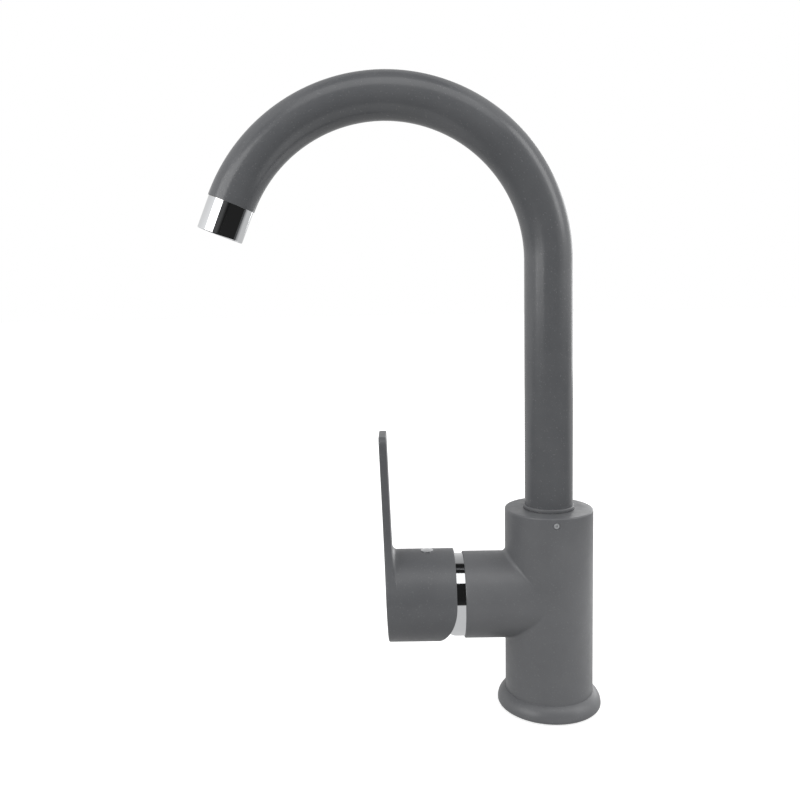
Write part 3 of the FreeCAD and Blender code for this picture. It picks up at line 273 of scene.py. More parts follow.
sheet = bpy.data.materials.new("white_sheet")
sheet.use_nodes = True
tree = sheet.node_tree
tree.nodes.clear()
ray = add_node(tree, "ShaderNodeLightPath")
spot = add_node(tree, "ShaderNodeTexCoord").outputs["Object"]
reach = add_node(tree, "ShaderNodeVectorMath", {"operation": "LENGTH"}, Vector=spot).outputs["Value"]
place = add_node(tree, "ShaderNodeSeparateXYZ", Vector=spot)

tone = ramp(tree, place.outputs["X"], *TABLE_ACROSS, *TABLE_TONES)
table = reckon(tree, "MULTIPLY", ramp(tree, reach, *TABLE_END, 1.0, 0.0), tone)
behind = ramp(tree, place.outputs["Y"], *BEHIND_TAP, *BEHIND_TONES)
seen_by_chrome = reckon(tree, "MAXIMUM", reckon(tree, "MAXIMUM", table, TABLE_DIMMEST), behind)
in_chrome = reckon(tree, "MULTIPLY", seen_by_chrome, ray.outputs["Is Glossy Ray"])
glow = choose(tree, ray.outputs["Is Camera Ray"], in_chrome, GLOW)
light = add_node(tree, "ShaderNodeEmission", Strength=glow)

by_matt = between(tree, ray.outputs["Is Diffuse Ray"], (0, 0, 0), [SCATTER_TO_MATT] * 3)
shade = between(tree, ray.outputs["Is Camera Ray"], by_matt, [SCATTER] * 3)
matt = add_node(tree, "ShaderNodeBsdfDiffuse", Color=shade)
both = add_node(tree, "ShaderNodeAddShader")
tree.links.new(matt.outputs["BSDF"], both.inputs[0])
tree.links.new(light.outputs["Emission"], both.inputs[1])
add_node(tree, "ShaderNodeOutputMaterial", Surface=both.outputs["Shader"])
floor_mesh.materials.append(sheet)
print("ground: a white sheet of", [round(side) for side in floor.dimensions[:2]], "m")

# %% [markdown]
# Every finish here is one Principled shader whose colour, roughness and bump vary a little, as
# real finishes do. The patterns read Object coordinates, which are metres on the tap itself, so
# a scale of 1000 makes a grain of about a millimetre wherever the piece is turned.

# %% Helpers for finishes
def new_finish(name, **values):
    """A material with one Principled shader, whose constant values are set on its own sockets."""
    material = bpy.data.materials.new(name)
    material.use_nodes = True
    tree = material.node_tree
    tree.nodes.clear()
    shader = add_node(tree, "ShaderNodeBsdfPrincipled", **values)
    add_node(tree, "ShaderNodeOutputMaterial", Surface=shader.outputs["BSDF"])
    return material, tree, shader


def grain(tree, scale, detail=2.0, roughness=0.5):
    """Noise on Object coordinates, as a number from 0 to 1."""
    place = add_node(tree, "ShaderNodeTexCoord").outputs["Object"]
    noise = add_node(tree, "ShaderNodeTexNoise", Vector=place, Scale=scale, Detail=detail,
                     Roughness=roughness)
    return noise.outputs["Fac"]


def span(tree, value, low, high, from_low=0.3, from_high=0.7):
    """Spreads a noise, most of which lies between 0.3 and 0.7, over the range from low to high."""
    return ramp(tree, value, from_low, from_high, low, high)


def relief(tree, shader, height, depth, strength=1.0):
    """Bump of this depth, in metres, from a height that runs from 0 to 1."""
    bump = add_node(tree, "ShaderNodeBump", Height=height, Distance=depth, Strength=strength)
    tree.links.new(bump.outputs["Normal"], shader.inputs["Normal"])


def mottled(name, metallic, tones, clouds, roughness, marks, skin=None, depth=0.0, strength=1.0):
    """A finish with a tone that clouds, a roughness that wanders, and a skin that is raised a little."""
    material, tree, shader = new_finish(name, Metallic=metallic)
    tree.links.new(between(tree, grain(tree, *clouds), *tones), shader.inputs["Base Color"])
    tree.links.new(span(tree, grain(tree, *marks), *roughness), shader.inputs["Roughness"])
    if skin:
        relief(tree, shader, grain(tree, *skin), depth, strength)
    return material


slots = sorted({row["material_slot"] for row in frame["record"]["subparts"]})
print("finishes to make:", ", ".join(slots))

# %% [markdown]
# The paint is a baked grey enamel, satin rather than glossy. Seen close, such paint has three
# things: an orange-peel skin a millimetre or so across, a faint cloudiness in its tone, and
# a scatter of fine pale flecks. Each is one noise. The flecks are the tips of a fine noise, cut
# off high so that only a few remain. The tube and the lever get a darker copy of the body's grey,
# and this darker grey is painted shade. The tube also has the sharper sheen, because paint lies
# smoother on a drawn tube than on a casting.

# %% Grey paint
BODY_GREYS = (0.116, 0.119, 0.125), (0.134, 0.137, 0.143)
# Painted shade: the darker greys that the tube and the lever get
SHADED_GREYS = (0.095, 0.098, 0.104), (0.111, 0.114, 0.120)
FLECK = (0.21, 0.215, 0.22)
ON_CASTING, ON_TUBE = (0.34, 0.44), (0.20, 0.26)
# Each noise by its scale, detail and roughness
CLOUDS, FLECKS = (38.0, 3.0, 0.6), (1150.0, 1.0, 0.5)
POLISH, PEEL = (240.0, 3.0, 0.6), (620.0, 2.0, 0.45)
FLECK_CUT, FLECK_STRENGTH = (0.66, 0.74), 0.35
PEEL_DEPTH, PEEL_STRENGTH = 0.00006, 0.45


def enamel(name, greys, roughness):
    """Satin enamel whose tone wanders between two greys, with pale flecks and an orange-peel skin."""
    paint, tree, shader = new_finish(name, Metallic=0.0, IOR=1.5)
    clouds = span(tree, grain(tree, *CLOUDS), 0.0, 1.0)
    flecks = span(tree, grain(tree, *FLECKS), 0.0, FLECK_STRENGTH, *FLECK_CUT)
    tone = between(tree, flecks, between(tree, clouds, *greys), FLECK)
    tree.links.new(tone, shader.inputs["Base Color"])
    tree.links.new(span(tree, grain(tree, *POLISH), *roughness), shader.inputs["Roughness"])
    relief(tree, shader, grain(tree, *PEEL), PEEL_DEPTH, PEEL_STRENGTH)
    return paint


grey_paint = enamel("grey_paint", BODY_GREYS, ON_CASTING)
# The lever and the tube take the darker greys, which are painted shade
shaded_lever_paint = enamel("grey_paint_lever_shaded", SHADED_GREYS, ON_CASTING)
shaded_tube_paint = enamel("grey_paint_tube_shaded", SHADED_GREYS, ON_TUBE)
print("paint:", grey_paint.name, shaded_lever_paint.name, shaded_tube_paint.name)

# %% [markdown]
# Chrome on such a tap is bright plating over polished brass. It is never quite a mirror: the
# buffing leaves a faint waviness, and its polish differs a little from place to place.

# %% Chrome
chrome = mottled(
    "polished_chrome", metallic=1.0, tones=((0.70, 0.71, 0.725), (0.80, 0.81, 0.82)), clouds=(60.0,),
    roughness=(0.03, 0.075), marks=(160.0, 4.0, 0.65), skin=(90.0, 1.0), depth=0.00002, strength=0.15,
)
print("chrome:", len(chrome.node_tree.nodes), "nodes")

# %% [markdown]
# Brass shows where no paint or plating reaches: in the bores, in the hollow under the body and
# on the ring nut. Turned brass is dull gold with fine marks, and its tone clouds as it tarnishes.

# %% Brass
brass = mottled(
    "bare_brass", metallic=1.0, tones=((0.66, 0.46, 0.21), (0.78, 0.58, 0.31)), clouds=(90.0, 4.0, 0.6),
    roughness=(0.24, 0.42), marks=(300.0, 3.0, 0.6), skin=(900.0, 3.0, 0.6), depth=0.00005, strength=0.35,
)
print("brass:", len(brass.node_tree.nodes), "nodes")

# %% [markdown]
# The last finishes belong to the pieces inside: matt black rubber, moulded white plastic, lapped
# ceramic that is smoother than anything else here, and turned steel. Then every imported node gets
# the finish of its slot, so that a piece which isn't built again below still has a real surface.

# %% Rubber, plastic, ceramic and steel
rubber = mottled(
    "black_rubber", metallic=0.0, tones=((0.014, 0.014, 0.015), (0.032, 0.032, 0.033)),
    clouds=(220.0, 4.0, 0.6), roughness=(0.55, 0.78), marks=(500.0, 3.0),
    skin=(1500.0, 2.0), depth=0.00004, strength=0.5,
)
plastic = mottled(
    "white_plastic", metallic=0.0, tones=((0.66, 0.66, 0.64), (0.75, 0.75, 0.73)), clouds=(70.0, 3.0),
    roughness=(0.38, 0.52), marks=(700.0, 2.0), skin=(1300.0, 2.0), depth=0.00003, strength=0.35,
)
ceramic = mottled(
    "white_ceramic", metallic=0.0, tones=((0.76, 0.75, 0.72), (0.85, 0.84, 0.81)), clouds=(180.0, 4.0, 0.7),
    roughness=(0.10, 0.20), marks=(900.0, 2.0), skin=(2200.0, 2.0), depth=0.00001, strength=0.3,
)
steel = mottled(
    "steel", metallic=1.0, tones=((0.50, 0.51, 0.52), (0.62, 0.63, 0.64)), clouds=(140.0, 3.0),
    roughness=(0.20, 0.36), marks=(1100.0, 3.0, 0.6), skin=(1600.0, 2.0), depth=0.00003, strength=0.3,
)
FINISHES = {
    "grey_paint": grey_paint, "polished_chrome": chrome, "bare_brass": brass, "black_rubber": rubber,
    "white_plastic": plastic, "white_ceramic": ceramic, "steel": steel,
}
slot_of = {row["node"]: row["material_slot"] for row in frame["record"]["subparts"]}
members_of = frame["record"]["behaviour"]["bodies"]
body_of = {node: body for body, members in members_of.items() for node in members}
for name, node in nodes.items():
    node.data.materials.clear()
    node.data.materials.append(FINISHES[slot_of[name]])
print("finishes:", ", ".join(FINISHES))

# %% [markdown]
# Most of a tap is turned on a lathe, so most of its meshes are rows of points that run round an
# axis, joined by faces. The helpers below make such a skin, weld it shut, turn its faces outward
# and mark its sharp edges. A row with a single point closes the skin, as the tip of a cone does.

# %% Helpers for skins
WELD_WITHIN = 2e-7


def skin_of(rows):
    """Vertices and faces of a skin that runs through closed rows of points."""
    verts, faces, starts = [], [], []
    for row in rows:
        starts.append(len(verts))
        verts.extend(row)
    for index in range(len(rows) - 1):
        a, b = starts[index], starts[index + 1]
        count = max(len(rows[index]), len(rows[index + 1]))
        for j in range(count):
            k = (j + 1) % count
            if len(rows[index]) == 1:
                faces.append((a, b + k, b + j))
            elif len(rows[index + 1]) == 1:
                faces.append((a + j, a + k, b))
            else:
                faces.append((a + j, a + k, b + k, b + j))
    return verts, faces


def closed_mesh(name, skins):
    """One welded mesh from skins in millimetres, with its faces outward and its sharp edges marked."""
    made = bmesh.new()
    for verts, faces, index in skins:
        points = [made.verts.new(Vector(point) * MM) for point in verts]
        for face in faces:
            made.faces.new([points[number] for number in face]).material_index = index
    bmesh.ops.remove_doubles(made, verts=made.verts, dist=WELD_WITHIN)
    bmesh.ops.recalc_face_normals(made, faces=made.faces)
    if made.calc_volume(signed=True) < 0:
        bmesh.ops.reverse_faces(made, faces=made.faces)
    open_edges = sum(1 for edge in made.edges if len(edge.link_faces) != 2)
    mesh = bpy.data.meshes.new(name)
    made.to_mesh(mesh)
    made.free()
    smooth(mesh)
    if open_edges:
        print(f"{name}: {open_edges} edges aren't closed")
    return mesh


def smooth(mesh, sharp=30.0):
    """Shades a mesh smooth, but for the edges that turn by more than this many degrees."""
    mesh.polygons.foreach_set("use_smooth", [True] * len(mesh.polygons))
    mesh.set_sharp_from_angle(angle=math.radians(sharp))


def show(name, mesh, finish, *replaced):
    """Puts a mesh on stage as a finished piece that stands for one CAD node or more."""
    piece = bpy.data.objects.new(name, mesh)
    scene.collection.objects.link(piece)
    if not mesh.materials:
        mesh.materials.append(FINISHES[finish])
    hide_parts(*replaced)
    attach(piece, body_of[replaced[0]])
    print(f"{name}: {len(mesh.polygons)} faces, for {', '.join(replaced)}")


two_rings = [[(1, 0, 0)] * 8, [(1, 0, 1)] * 8]
print("a skin over two rings of 8 points has", len(skin_of(two_rings)[1]), "faces")

# %% [markdown]
# A lathe helper turns an outline, given as (radius, height) pairs, round an axis. No machined
# edge is perfectly sharp, and it is the small round on it that catches the light, so a third
# number at a corner rounds it by that much. Smooth shading would spread such a round over the
# whole straight side beside it, which a mirror finish shows at once, so each long side gets a
# ring of points just short of its ends.

# %% Helpers for turned pieces
UPRIGHT = Matrix.Identity(4)
ON_AXIS = 1e-9
HOLD, LONG_SIDE = 0.15, 1.2
# The cartridge stands on a seat this far from the tap's axis, and its own axis is the arm's
SEAT, ARM_HEIGHT = 10.0, 60.5
SIDEWAYS = Matrix.Rotation(math.radians(90), 4, Vector((0, -1, 0)))
ON_CARTRIDGE_AXIS = Matrix.Translation((-SEAT, 0, ARM_HEIGHT)) @ SIDEWAYS


def rounded(corners, steps=4):
    """Replaces each corner (radius, height, round) with a small arc."""
    points = []
    for index, corner in enumerate(corners):
        if len(corner) == 2:
            points.append(Vector(corner))
            continue
        here = Vector(corner[:2])
        back = (Vector(corners[index - 1][:2]) - here).normalized()
        ahead = (Vector(corners[(index + 1) % len(corners)][:2]) - here).normalized()
        half = back.angle(ahead) / 2
        reach = corner[2] / math.tan(half)
        centre = here + (back + ahead).normalized() * (corner[2] / math.sin(half))
        first, last = here + back * reach - centre, here + ahead * reach - centre
        for step in range(steps + 1):
            points.append(centre + first.slerp(last, step / steps) * corner[2])
    return points


def arc(centre, radius, start, end, steps):
    """Points on an arc of an outline, from one angle to another in degrees."""
    angles = [math.radians(start + (end - start) * step / steps) for step in range(steps + 1)]
    return [(centre[0] + radius * math.cos(turn), centre[1] + radius * math.sin(turn)) for turn in angles]


def held(outline):
    """Adds a point close to either end of each long straight side."""
    points = []
    for here, ahead in zip(outline, outline[1:] + outline[:1]):
        side = Vector(ahead) - Vector(here)
        inward = side.normalized() * HOLD
        points.append(Vector(here))
        if side.length > LONG_SIDE:
            points += [Vector(here) + inward, Vector(ahead) - inward]
    return points


def turned(name, corners, place=UPRIGHT, steps=160, index=0):
    """Turns a closed outline round local Z, and puts it in its place."""
    rows = []
    outline = held(rounded(corners))
    angles = [2 * math.pi * step / steps for step in range(steps)]
    for radius, height in outline + outline[:1]:
        if radius >= ON_AXIS:
            ring = [(radius * math.cos(angle), radius * math.sin(angle), height) for angle in angles]
            rows.append([place @ Vector(point) for point in ring])
        elif not rows or len(rows[-1]) > 1:
            rows.append([place @ Vector((0, 0, height))])
    return closed_mesh(name, [(*skin_of(rows), index)])


square_with_a_round = rounded([(0, 0), (2, 0, 0.5), (2, 2), (0, 2)])
print("a square with one round corner has", len(square_with_a_round), "points where it had 4")

# %% [markdown]
# The foot of the tap is a ring with a full, round shoulder that swells out below the body. Two
# arcs make its outline: a large one from the body down to the widest place, and a small one that
# tucks in to the deck. The arcs share a tangent there, so the highlight runs over it unbroken.
# Below it lies the flat rubber seal, which shows only as a thin dark line.

# %% Foot ring and seal
BODY_RADIUS, FOOT_RADIUS = 23.05, 20.4
SEAL_INNER, SEAL_OUTER, SEAL_HIGH = 18.9, 24.0, 2.0
RING_TOP, RING_WIDEST, RING_LIFT = 8.6, 1.9, 0.4
RING_LIP, RING_SWELL, ROUND_FOOT, ROUND_SEAL = 0.1, 4.25, 0.05, 0.2

ring_inner, recess = FOOT_RADIUS + ROUND_FOOT, SEAL_OUTER + ROUND_SEAL
brim, widest = BODY_RADIUS + RING_LIP, BODY_RADIUS + RING_SWELL
rise, swell = RING_TOP - RING_WIDEST, widest - brim
shoulder_round = (rise ** 2 + swell ** 2) / (2 * swell)
tuck = RING_WIDEST - RING_LIFT
top_angle = math.degrees(math.atan2(rise, brim - (widest - shoulder_round)))
ring_outline = [(ring_inner, SEAL_HIGH), (ring_inner, RING_TOP)]
ring_outline += arc((widest - shoulder_round, RING_WIDEST), shoulder_round, top_angle, 0, 28)
ring_outline += arc((widest - tuck, RING_WIDEST), tuck, 0, -90, 10)[1:]
ring_outline += [(recess, RING_LIFT), (recess, SEAL_HIGH)]
show("foot_ring", turned("foot_ring", ring_outline, steps=224), "grey_paint", "base_ring")
seal_outline = [(SEAL_INNER, 0, 0.15), (SEAL_OUTER, 0, 0.3)]
seal_outline += [(SEAL_OUTER, SEAL_HIGH, 0.3), (SEAL_INNER, SEAL_HIGH, 0.15)]
show("foot_seal", turned("foot_seal", seal_outline), "black_rubber", "base_seal")

# %% [markdown]
# The body is one casting: an upright with an arm that grows out of its side. The join is a
# rolling-ball fillet. A ball of the fillet's radius that touches both cylinders has its centre
# at both radii plus its own, so the centre's path, and the two lines where it touches, follow
# from the sizes. Making the join this way, rather than with a boolean and a bevel, gives even
# faces there, and it is the one place on the body where a highlight would show any lump.

# %% The join of body and arm
ARM_RADIUS, JOIN_ROUND, BODY_TOP, TOP_ROUND = 22.55, 2.5, 107.0, 0.8
TOP_COLUMNS, SIDE_COLUMNS, FINE_STEPS = 160, 64, 2880
half_girth = math.pi * BODY_RADIUS


def ball_centre(angle):
    """Where the ball's centre stands, for an angle round the arm's axis."""
    y = (ARM_RADIUS + JOIN_ROUND) * np.cos(angle)
    z = ARM_HEIGHT + (ARM_RADIUS + JOIN_ROUND) * np.sin(angle)
    return np.array([-np.sqrt((BODY_RADIUS + JOIN_ROUND) ** 2 - y ** 2), y, z])


def unrolled_touch(angle):
    """Where the ball touches the upright, on the upright's skin laid flat."""
    x, y, z = ball_centre(angle)
    return BODY_RADIUS * np.arctan2(y, -x), z


# The edge of the flat skin, and for each of its points the angle round the arm that faces it
skin_low, skin_high = RING_TOP, BODY_TOP - TOP_ROUND
girth = np.linspace(-half_girth, half_girth, TOP_COLUMNS + 1)
heights = np.linspace(skin_high, skin_low, SIDE_COLUMNS + 1)
edge = [(s, skin_high) for s in girth[:-1]] + [(half_girth, z) for z in heights[:-1]]
edge += [(s, skin_low) for s in girth[:0:-1]] + [(-half_girth, z) for z in heights[:0:-1]]
edge = np.array(edge)
facing = np.arctan2(edge[:, 1] - ARM_HEIGHT, edge[:, 0])
round_arm = np.linspace(-math.pi, math.pi, FINE_STEPS + 1)
touch_across, touch_height = unrolled_touch(round_arm)
touch_facing = np.unwrap(np.arctan2(touch_height - ARM_HEIGHT, touch_across))
touch_facing += round_arm[0] - touch_facing[0]
columns = np.interp(facing, touch_facing, round_arm)
print(f"{len(columns)} columns round the join, fillet {JOIN_ROUND} mm")

# %% [markdown]
# The body's outer skin is three sheets of rows that share their edges: the arm with its stepped
# end, the fillet, and the upright laid flat and wrapped round again. Every column runs from the
# arm's end, over the fillet and out to an edge of the flat sheet. Where the sheet is wrapped
# round, its two side edges meet at the back and are welded.

# %% Skin of the body
ARM_END, END_ROUND, END_STEP = -45.6, 0.4, 0.12
NECK_END, NECK_RADIUS, CHAMBER_RADIUS, BEVEL = -48.5, 19.6, 18.2, 0.2
ARM_ROWS, JOIN_ROWS, UPRIGHT_ROWS = 13, 13, 22

arm_profile = [
    (ARM_END + END_ROUND, ARM_RADIUS), (ARM_END + END_STEP, ARM_RADIUS - END_STEP),
    (ARM_END, ARM_RADIUS - END_ROUND), (ARM_END, NECK_RADIUS), (NECK_END + BEVEL, NECK_RADIUS),
    (NECK_END, NECK_RADIUS - BEVEL), (NECK_END, CHAMBER_RADIUS + BEVEL), (NECK_END + BEVEL, CHAMBER_RADIUS),
]


def arm_row(x, radius):
    """A ring of points round the arm's axis, one for each column."""
    return [(x, radius * math.cos(angle), ARM_HEIGHT + radius * math.sin(angle)) for angle in columns]


def on_upright(s, z):
    """A place on the upright, from one on its skin laid flat."""
    angle = s / BODY_RADIUS
    return (-BODY_RADIUS * math.cos(angle), BODY_RADIUS * math.sin(angle), z)


def swung(first, second, share):
    """The direction that lies this share of the way from one direction to another."""
    return Vector(first).normalized().slerp(Vector(second).normalized(), share)


centres = [ball_centre(angle) for angle in columns]
arm_rows = []
for share in np.linspace(0, 1, ARM_ROWS)[:-1]:
    stretch = [centre[0] + (ARM_END + END_ROUND - centre[0]) * share for centre in centres]
    arm_rows.append([(x, y, z) for x, (_, y, z) in zip(stretch, arm_row(0.0, ARM_RADIUS))])
arm_rows += [arm_row(x, radius) for x, radius in arm_profile]
join_rows = []
for share in np.linspace(0, 1, JOIN_ROWS):
    row = []
    for centre, angle in zip(centres, columns):
        to_arm = (0, -math.cos(angle), -math.sin(angle))
        to_body = (-centre[0], -centre[1], 0)
        row.append(Vector(centre) + swung(to_arm, to_body, share) * JOIN_ROUND)
    join_rows.append(row)
skin_rows = []
for share in np.linspace(0, 1, UPRIGHT_ROWS):
    row = []
    for angle, (s, z) in zip(columns, edge):
        near_s, near_z = unrolled_touch(angle)
        row.append(on_upright(near_s + (s - near_s) * share, near_z + (z - near_z) * share))
    skin_rows.append(row)
print(f"{len(arm_rows) + len(join_rows) + len(skin_rows)} rows of {len(columns)}")

# %% [markdown]
# Above and below the skin the casting is turned work again: the flat top with the socket that
# takes the spout, and the foot with the hollow under it. These rows start from the points where
# the skin ends, so the mesh closes without a seam. Inside, the casting is bare machined brass,
# which is a second material on the same mesh.

# %% Top, socket, foot and hollow of the body
PAINTED, BARE = 0, 1
FLAT_TOP, SOCKET_TOP, SOCKET_STEP, SPIGOT_BORE, SPIGOT_FLOOR = 18.0, 12.4, 0.6, 10.1, 80.0
WATER_BORE, WATER_FLOOR = 4.5, 54.0
HOLLOW_RADIUS, HOLLOW_TOP = 18.5, 36.0
CHAMBER_STEP, SEAT_RADIUS = -33.0, 17.6
top_angles = [s / BODY_RADIUS for s in girth[:-1]]
socket_edge, step_low = BODY_TOP - BEVEL, BODY_TOP - SOCKET_STEP


def upright_row(radius, z):
    """A ring of points round the upright's axis, or the one point on it."""
    if radius == 0:
        return [(0.0, 0.0, z)]
    return [(-radius * math.cos(angle), radius * math.sin(angle), z) for angle in top_angles]


top_profile = [(BODY_RADIUS - TOP_ROUND + x, z) for x, z in arc((0, skin_high), TOP_ROUND, 0, 90, 6)]
top_profile += [(FLAT_TOP, BODY_TOP), (SOCKET_TOP + BEVEL, BODY_TOP), (SOCKET_TOP, socket_edge)]
socket_profile = [
    (SOCKET_TOP, socket_edge), (SOCKET_TOP, step_low), (SPIGOT_BORE + BEVEL, step_low),
    (SPIGOT_BORE, step_low - BEVEL), (SPIGOT_BORE, SPIGOT_FLOOR), (WATER_BORE, SPIGOT_FLOOR),
    (WATER_BORE, WATER_FLOOR), (0, WATER_FLOOR),
]
foot_profile = [(BODY_RADIUS, skin_low), (FOOT_RADIUS, skin_low), (FOOT_RADIUS, SEAL_HIGH)]
hollow_profile = [
    (FOOT_RADIUS, SEAL_HIGH), (HOLLOW_RADIUS + BEVEL, SEAL_HIGH), (HOLLOW_RADIUS, SEAL_HIGH + BEVEL),
    (HOLLOW_RADIUS, HOLLOW_TOP), (0, HOLLOW_TOP),
]
chamber_profile = [
    (NECK_END + BEVEL, CHAMBER_RADIUS), (CHAMBER_STEP, CHAMBER_RADIUS), (CHAMBER_STEP, SEAT_RADIUS),
    (-SEAT, SEAT_RADIUS),
]
chamber_rows = [arm_row(x, radius) for x, radius in chamber_profile] + [[(-SEAT, 0.0, ARM_HEIGHT)]]
body_skins = [(*skin_of(rows), PAINTED) for rows in (arm_rows, join_rows, skin_rows)]
for coat, profiles in ((PAINTED, (top_profile, foot_profile)), (BARE, (socket_profile, hollow_profile))):
    for profile in profiles:
        body_skins.append((*skin_of([upright_row(radius, z) for radius, z in profile]), coat))
body_skins.append((*skin_of(chamber_rows), BARE))
body_mesh = closed_mesh("body", body_skins)
body_mesh.materials.append(grey_paint)
body_mesh.materials.append(brass)
print(f"body: {len(body_mesh.polygons)} faces before drilling")

# %% [markdown]
# The holes are drilled as a machinist would, by taking drills away from the casting. Each drill
# is a turned piece, and a Boolean modifier does the cutting. The two hose bosses and the stud's
# boss are added first.

# %% Bosses and drillings
INLETS, STUD = [(-3.0, 8.5), (-3.0, -8.5)], (10.0, 0.0)
BOSS_LOW, BOSS_HIGH, INLET_BOSS, STUD_BOSS, OVERCUT = 14.0, 37.0, 7.2, 6.5, 1.0
HOSE_HOLE, HOSE_END, INLET_WAY, INLET_END = 4.5, 28.0, 3.2, 68.5
STUD_HOLE, STUD_END = 3.4, 32.0
PORT_HOLE, PORT_DEPTH, PORT_SIDE, PORT_HEIGHT = 2.5, 5.0, 6.0, 65.5
PEG_HOLE, PEG_DEPTH, PEG_SIDE = 2.55, 2.95, 13.0
OUTLET_DEPTH, OUTLET_HEIGHT = 10.0, 58.3
LOCK_HOLE, LOCK_DROP, LOCK_REACH = 1.6, 3.8, 24.0
TO_FRONT = Matrix.Rotation(math.radians(90), 4, Vector((1, 0, 0)))
AT_LOCK_SCREW = Matrix.Translation((0, 0, BODY_TOP - LOCK_DROP)) @ TO_FRONT


def upright_at(x, y):
    """A place whose local Z points up from the deck."""
    return Matrix.Translation((x, y, 0))


def along_x(y, z):
    """A place whose local Z points inward from the chamber's floor, along +X."""
    return Matrix.Translation((-SEAT, y, z)) @ Matrix.Rotation(math.radians(90), 4, Vector((0, 1, 0)))


def drill(radius, start, end):
    """The outline of a straight drill, from the axis out."""
    return [(0, start), (radius, start), (radius, end), (0, end)]


drill_start = BOSS_LOW - OVERCUT
cone_end = HOSE_END + HOSE_HOLE - INLET_WAY
inlet_drill = [(0, drill_start), (HOSE_HOLE, drill_start), (HOSE_HOLE, HOSE_END)]
inlet_drill += [(INLET_WAY, cone_end), (INLET_WAY, INLET_END), (0, INLET_END)]
inlet_boss, stud_boss = drill(INLET_BOSS, BOSS_LOW, BOSS_HIGH), drill(STUD_BOSS, BOSS_LOW, BOSS_HIGH)
boss_tools = [turned("boss", inlet_boss, upright_at(x, y), steps=64, index=BARE) for x, y in INLETS]
boss_tools.append(turned("boss", stud_boss, upright_at(*STUD), steps=64, index=BARE))
upright_drills = [turned("drill", inlet_drill, upright_at(x, y), steps=64, index=BARE) for x, y in INLETS]
stud_drill = drill(STUD_HOLE, drill_start, STUD_END)
upright_drills.append(turned("drill", stud_drill, upright_at(*STUD), steps=64, index=BARE))

crossings = [(side, PORT_HEIGHT, PORT_HOLE, PORT_DEPTH) for side in (PORT_SIDE, -PORT_SIDE)]
crossings += [(side, PORT_HEIGHT, PEG_HOLE, PEG_DEPTH) for side in (PEG_SIDE, -PEG_SIDE)]
crossings.append((0.0, OUTLET_HEIGHT, PORT_HOLE, OUTLET_DEPTH))
cross_drills = []
for y, z, radius, depth in crossings:
    cross_drill = drill(radius, -OVERCUT, depth)
    cross_drills.append(turned("drill", cross_drill, along_x(y, z), steps=48, index=BARE))
lock_drill = drill(LOCK_HOLE, 0.0, LOCK_REACH)
cross_drills.append(turned("drill", lock_drill, AT_LOCK_SCREW, steps=64, index=PAINTED))
print(f"{len(boss_tools)} bosses, {len(upright_drills)} upright and {len(cross_drills)} cross drillings")

# %% [markdown]
# A Boolean modifier takes one tool object, so the drills of a step are joined into one mesh
# first. The exact solver is slower than the fast one, but it keeps a clean edge where two round
# holes meet.

# %% Cut the body
def joined(meshes):
    """One object that holds several tools, for one Boolean."""
    made = bmesh.new()
    for mesh in meshes:
        made.from_mesh(mesh)
    mesh = bpy.data.meshes.new("tools")
    made.to_mesh(mesh)
    made.free()
    tools = bpy.data.objects.new("tools", mesh)
    scene.collection.objects.link(tools)
    return tools


def cut(mesh, *steps):
    """Applies (operation, tools) steps to a mesh with Boolean modifiers, and removes the tools."""
    work = bpy.data.objects.new("work", mesh)
    scene.collection.objects.link(work)
    used = []
    for operation, tools in steps:
        used.append(joined(tools))
        modifier = work.modifiers.new(operation.lower(), "BOOLEAN")
        modifier.operation, modifier.solver, modifier.object = operation, "EXACT", used[-1]
    graph = bpy.context.evaluated_depsgraph_get()
    result = bpy.data.meshes.new_from_object(work.evaluated_get(graph))
    for item in [work] + used:
        bpy.data.objects.remove(item)
    smooth(result)
    return result


body_steps = ("UNION", boss_tools), ("DIFFERENCE", upright_drills), ("DIFFERENCE", cross_drills)
body_mesh = cut(body_mesh, *body_steps)
show("tap_body", body_mesh, "grey_paint", "body")

# %% [markdown]
# The spout is a bent tube: straight up, then round an arc past the top and down to the outlet.
# A tube that follows a path is a rule, so Geometry Nodes make it. A line as long as the whole
# path is laid first, and each of its points is then moved by how far along it lies: below the
# bend it keeps its height, and past it the leftover length becomes an angle. A circle swept
# along that path is the bore, and extruding the bore outward by the wall makes the tube.

# %% Helpers for Geometry Nodes
def new_rule(name, inputs):
    """A Geometry Nodes tree with named inputs. Returns the tree and the sockets of its inputs."""
    tree = bpy.data.node_groups.new(name, "GeometryNodeTree")
    for label, kind in inputs.items():
        tree.interface.new_socket(name=label, in_out="INPUT", socket_type=kind)
    tree.interface.new_socket(name="Geometry", in_out="OUTPUT", socket_type="NodeSocketGeometry")
    return tree, tree.nodes.new("NodeGroupInput").outputs


def end_rule(tree, geometry, material):
    """Ends a tree in plain smooth mesh with its material."""
    real = add_node(tree, "GeometryNodeRealizeInstances", Geometry=geometry)
    coated = add_node(tree, "GeometryNodeSetMaterial", Geometry=real.outputs["Geometry"], Material=material)
    out = tree.nodes.new("NodeGroupOutput")
    tree.links.new(coated.outputs["Geometry"], out.inputs["Geometry"])


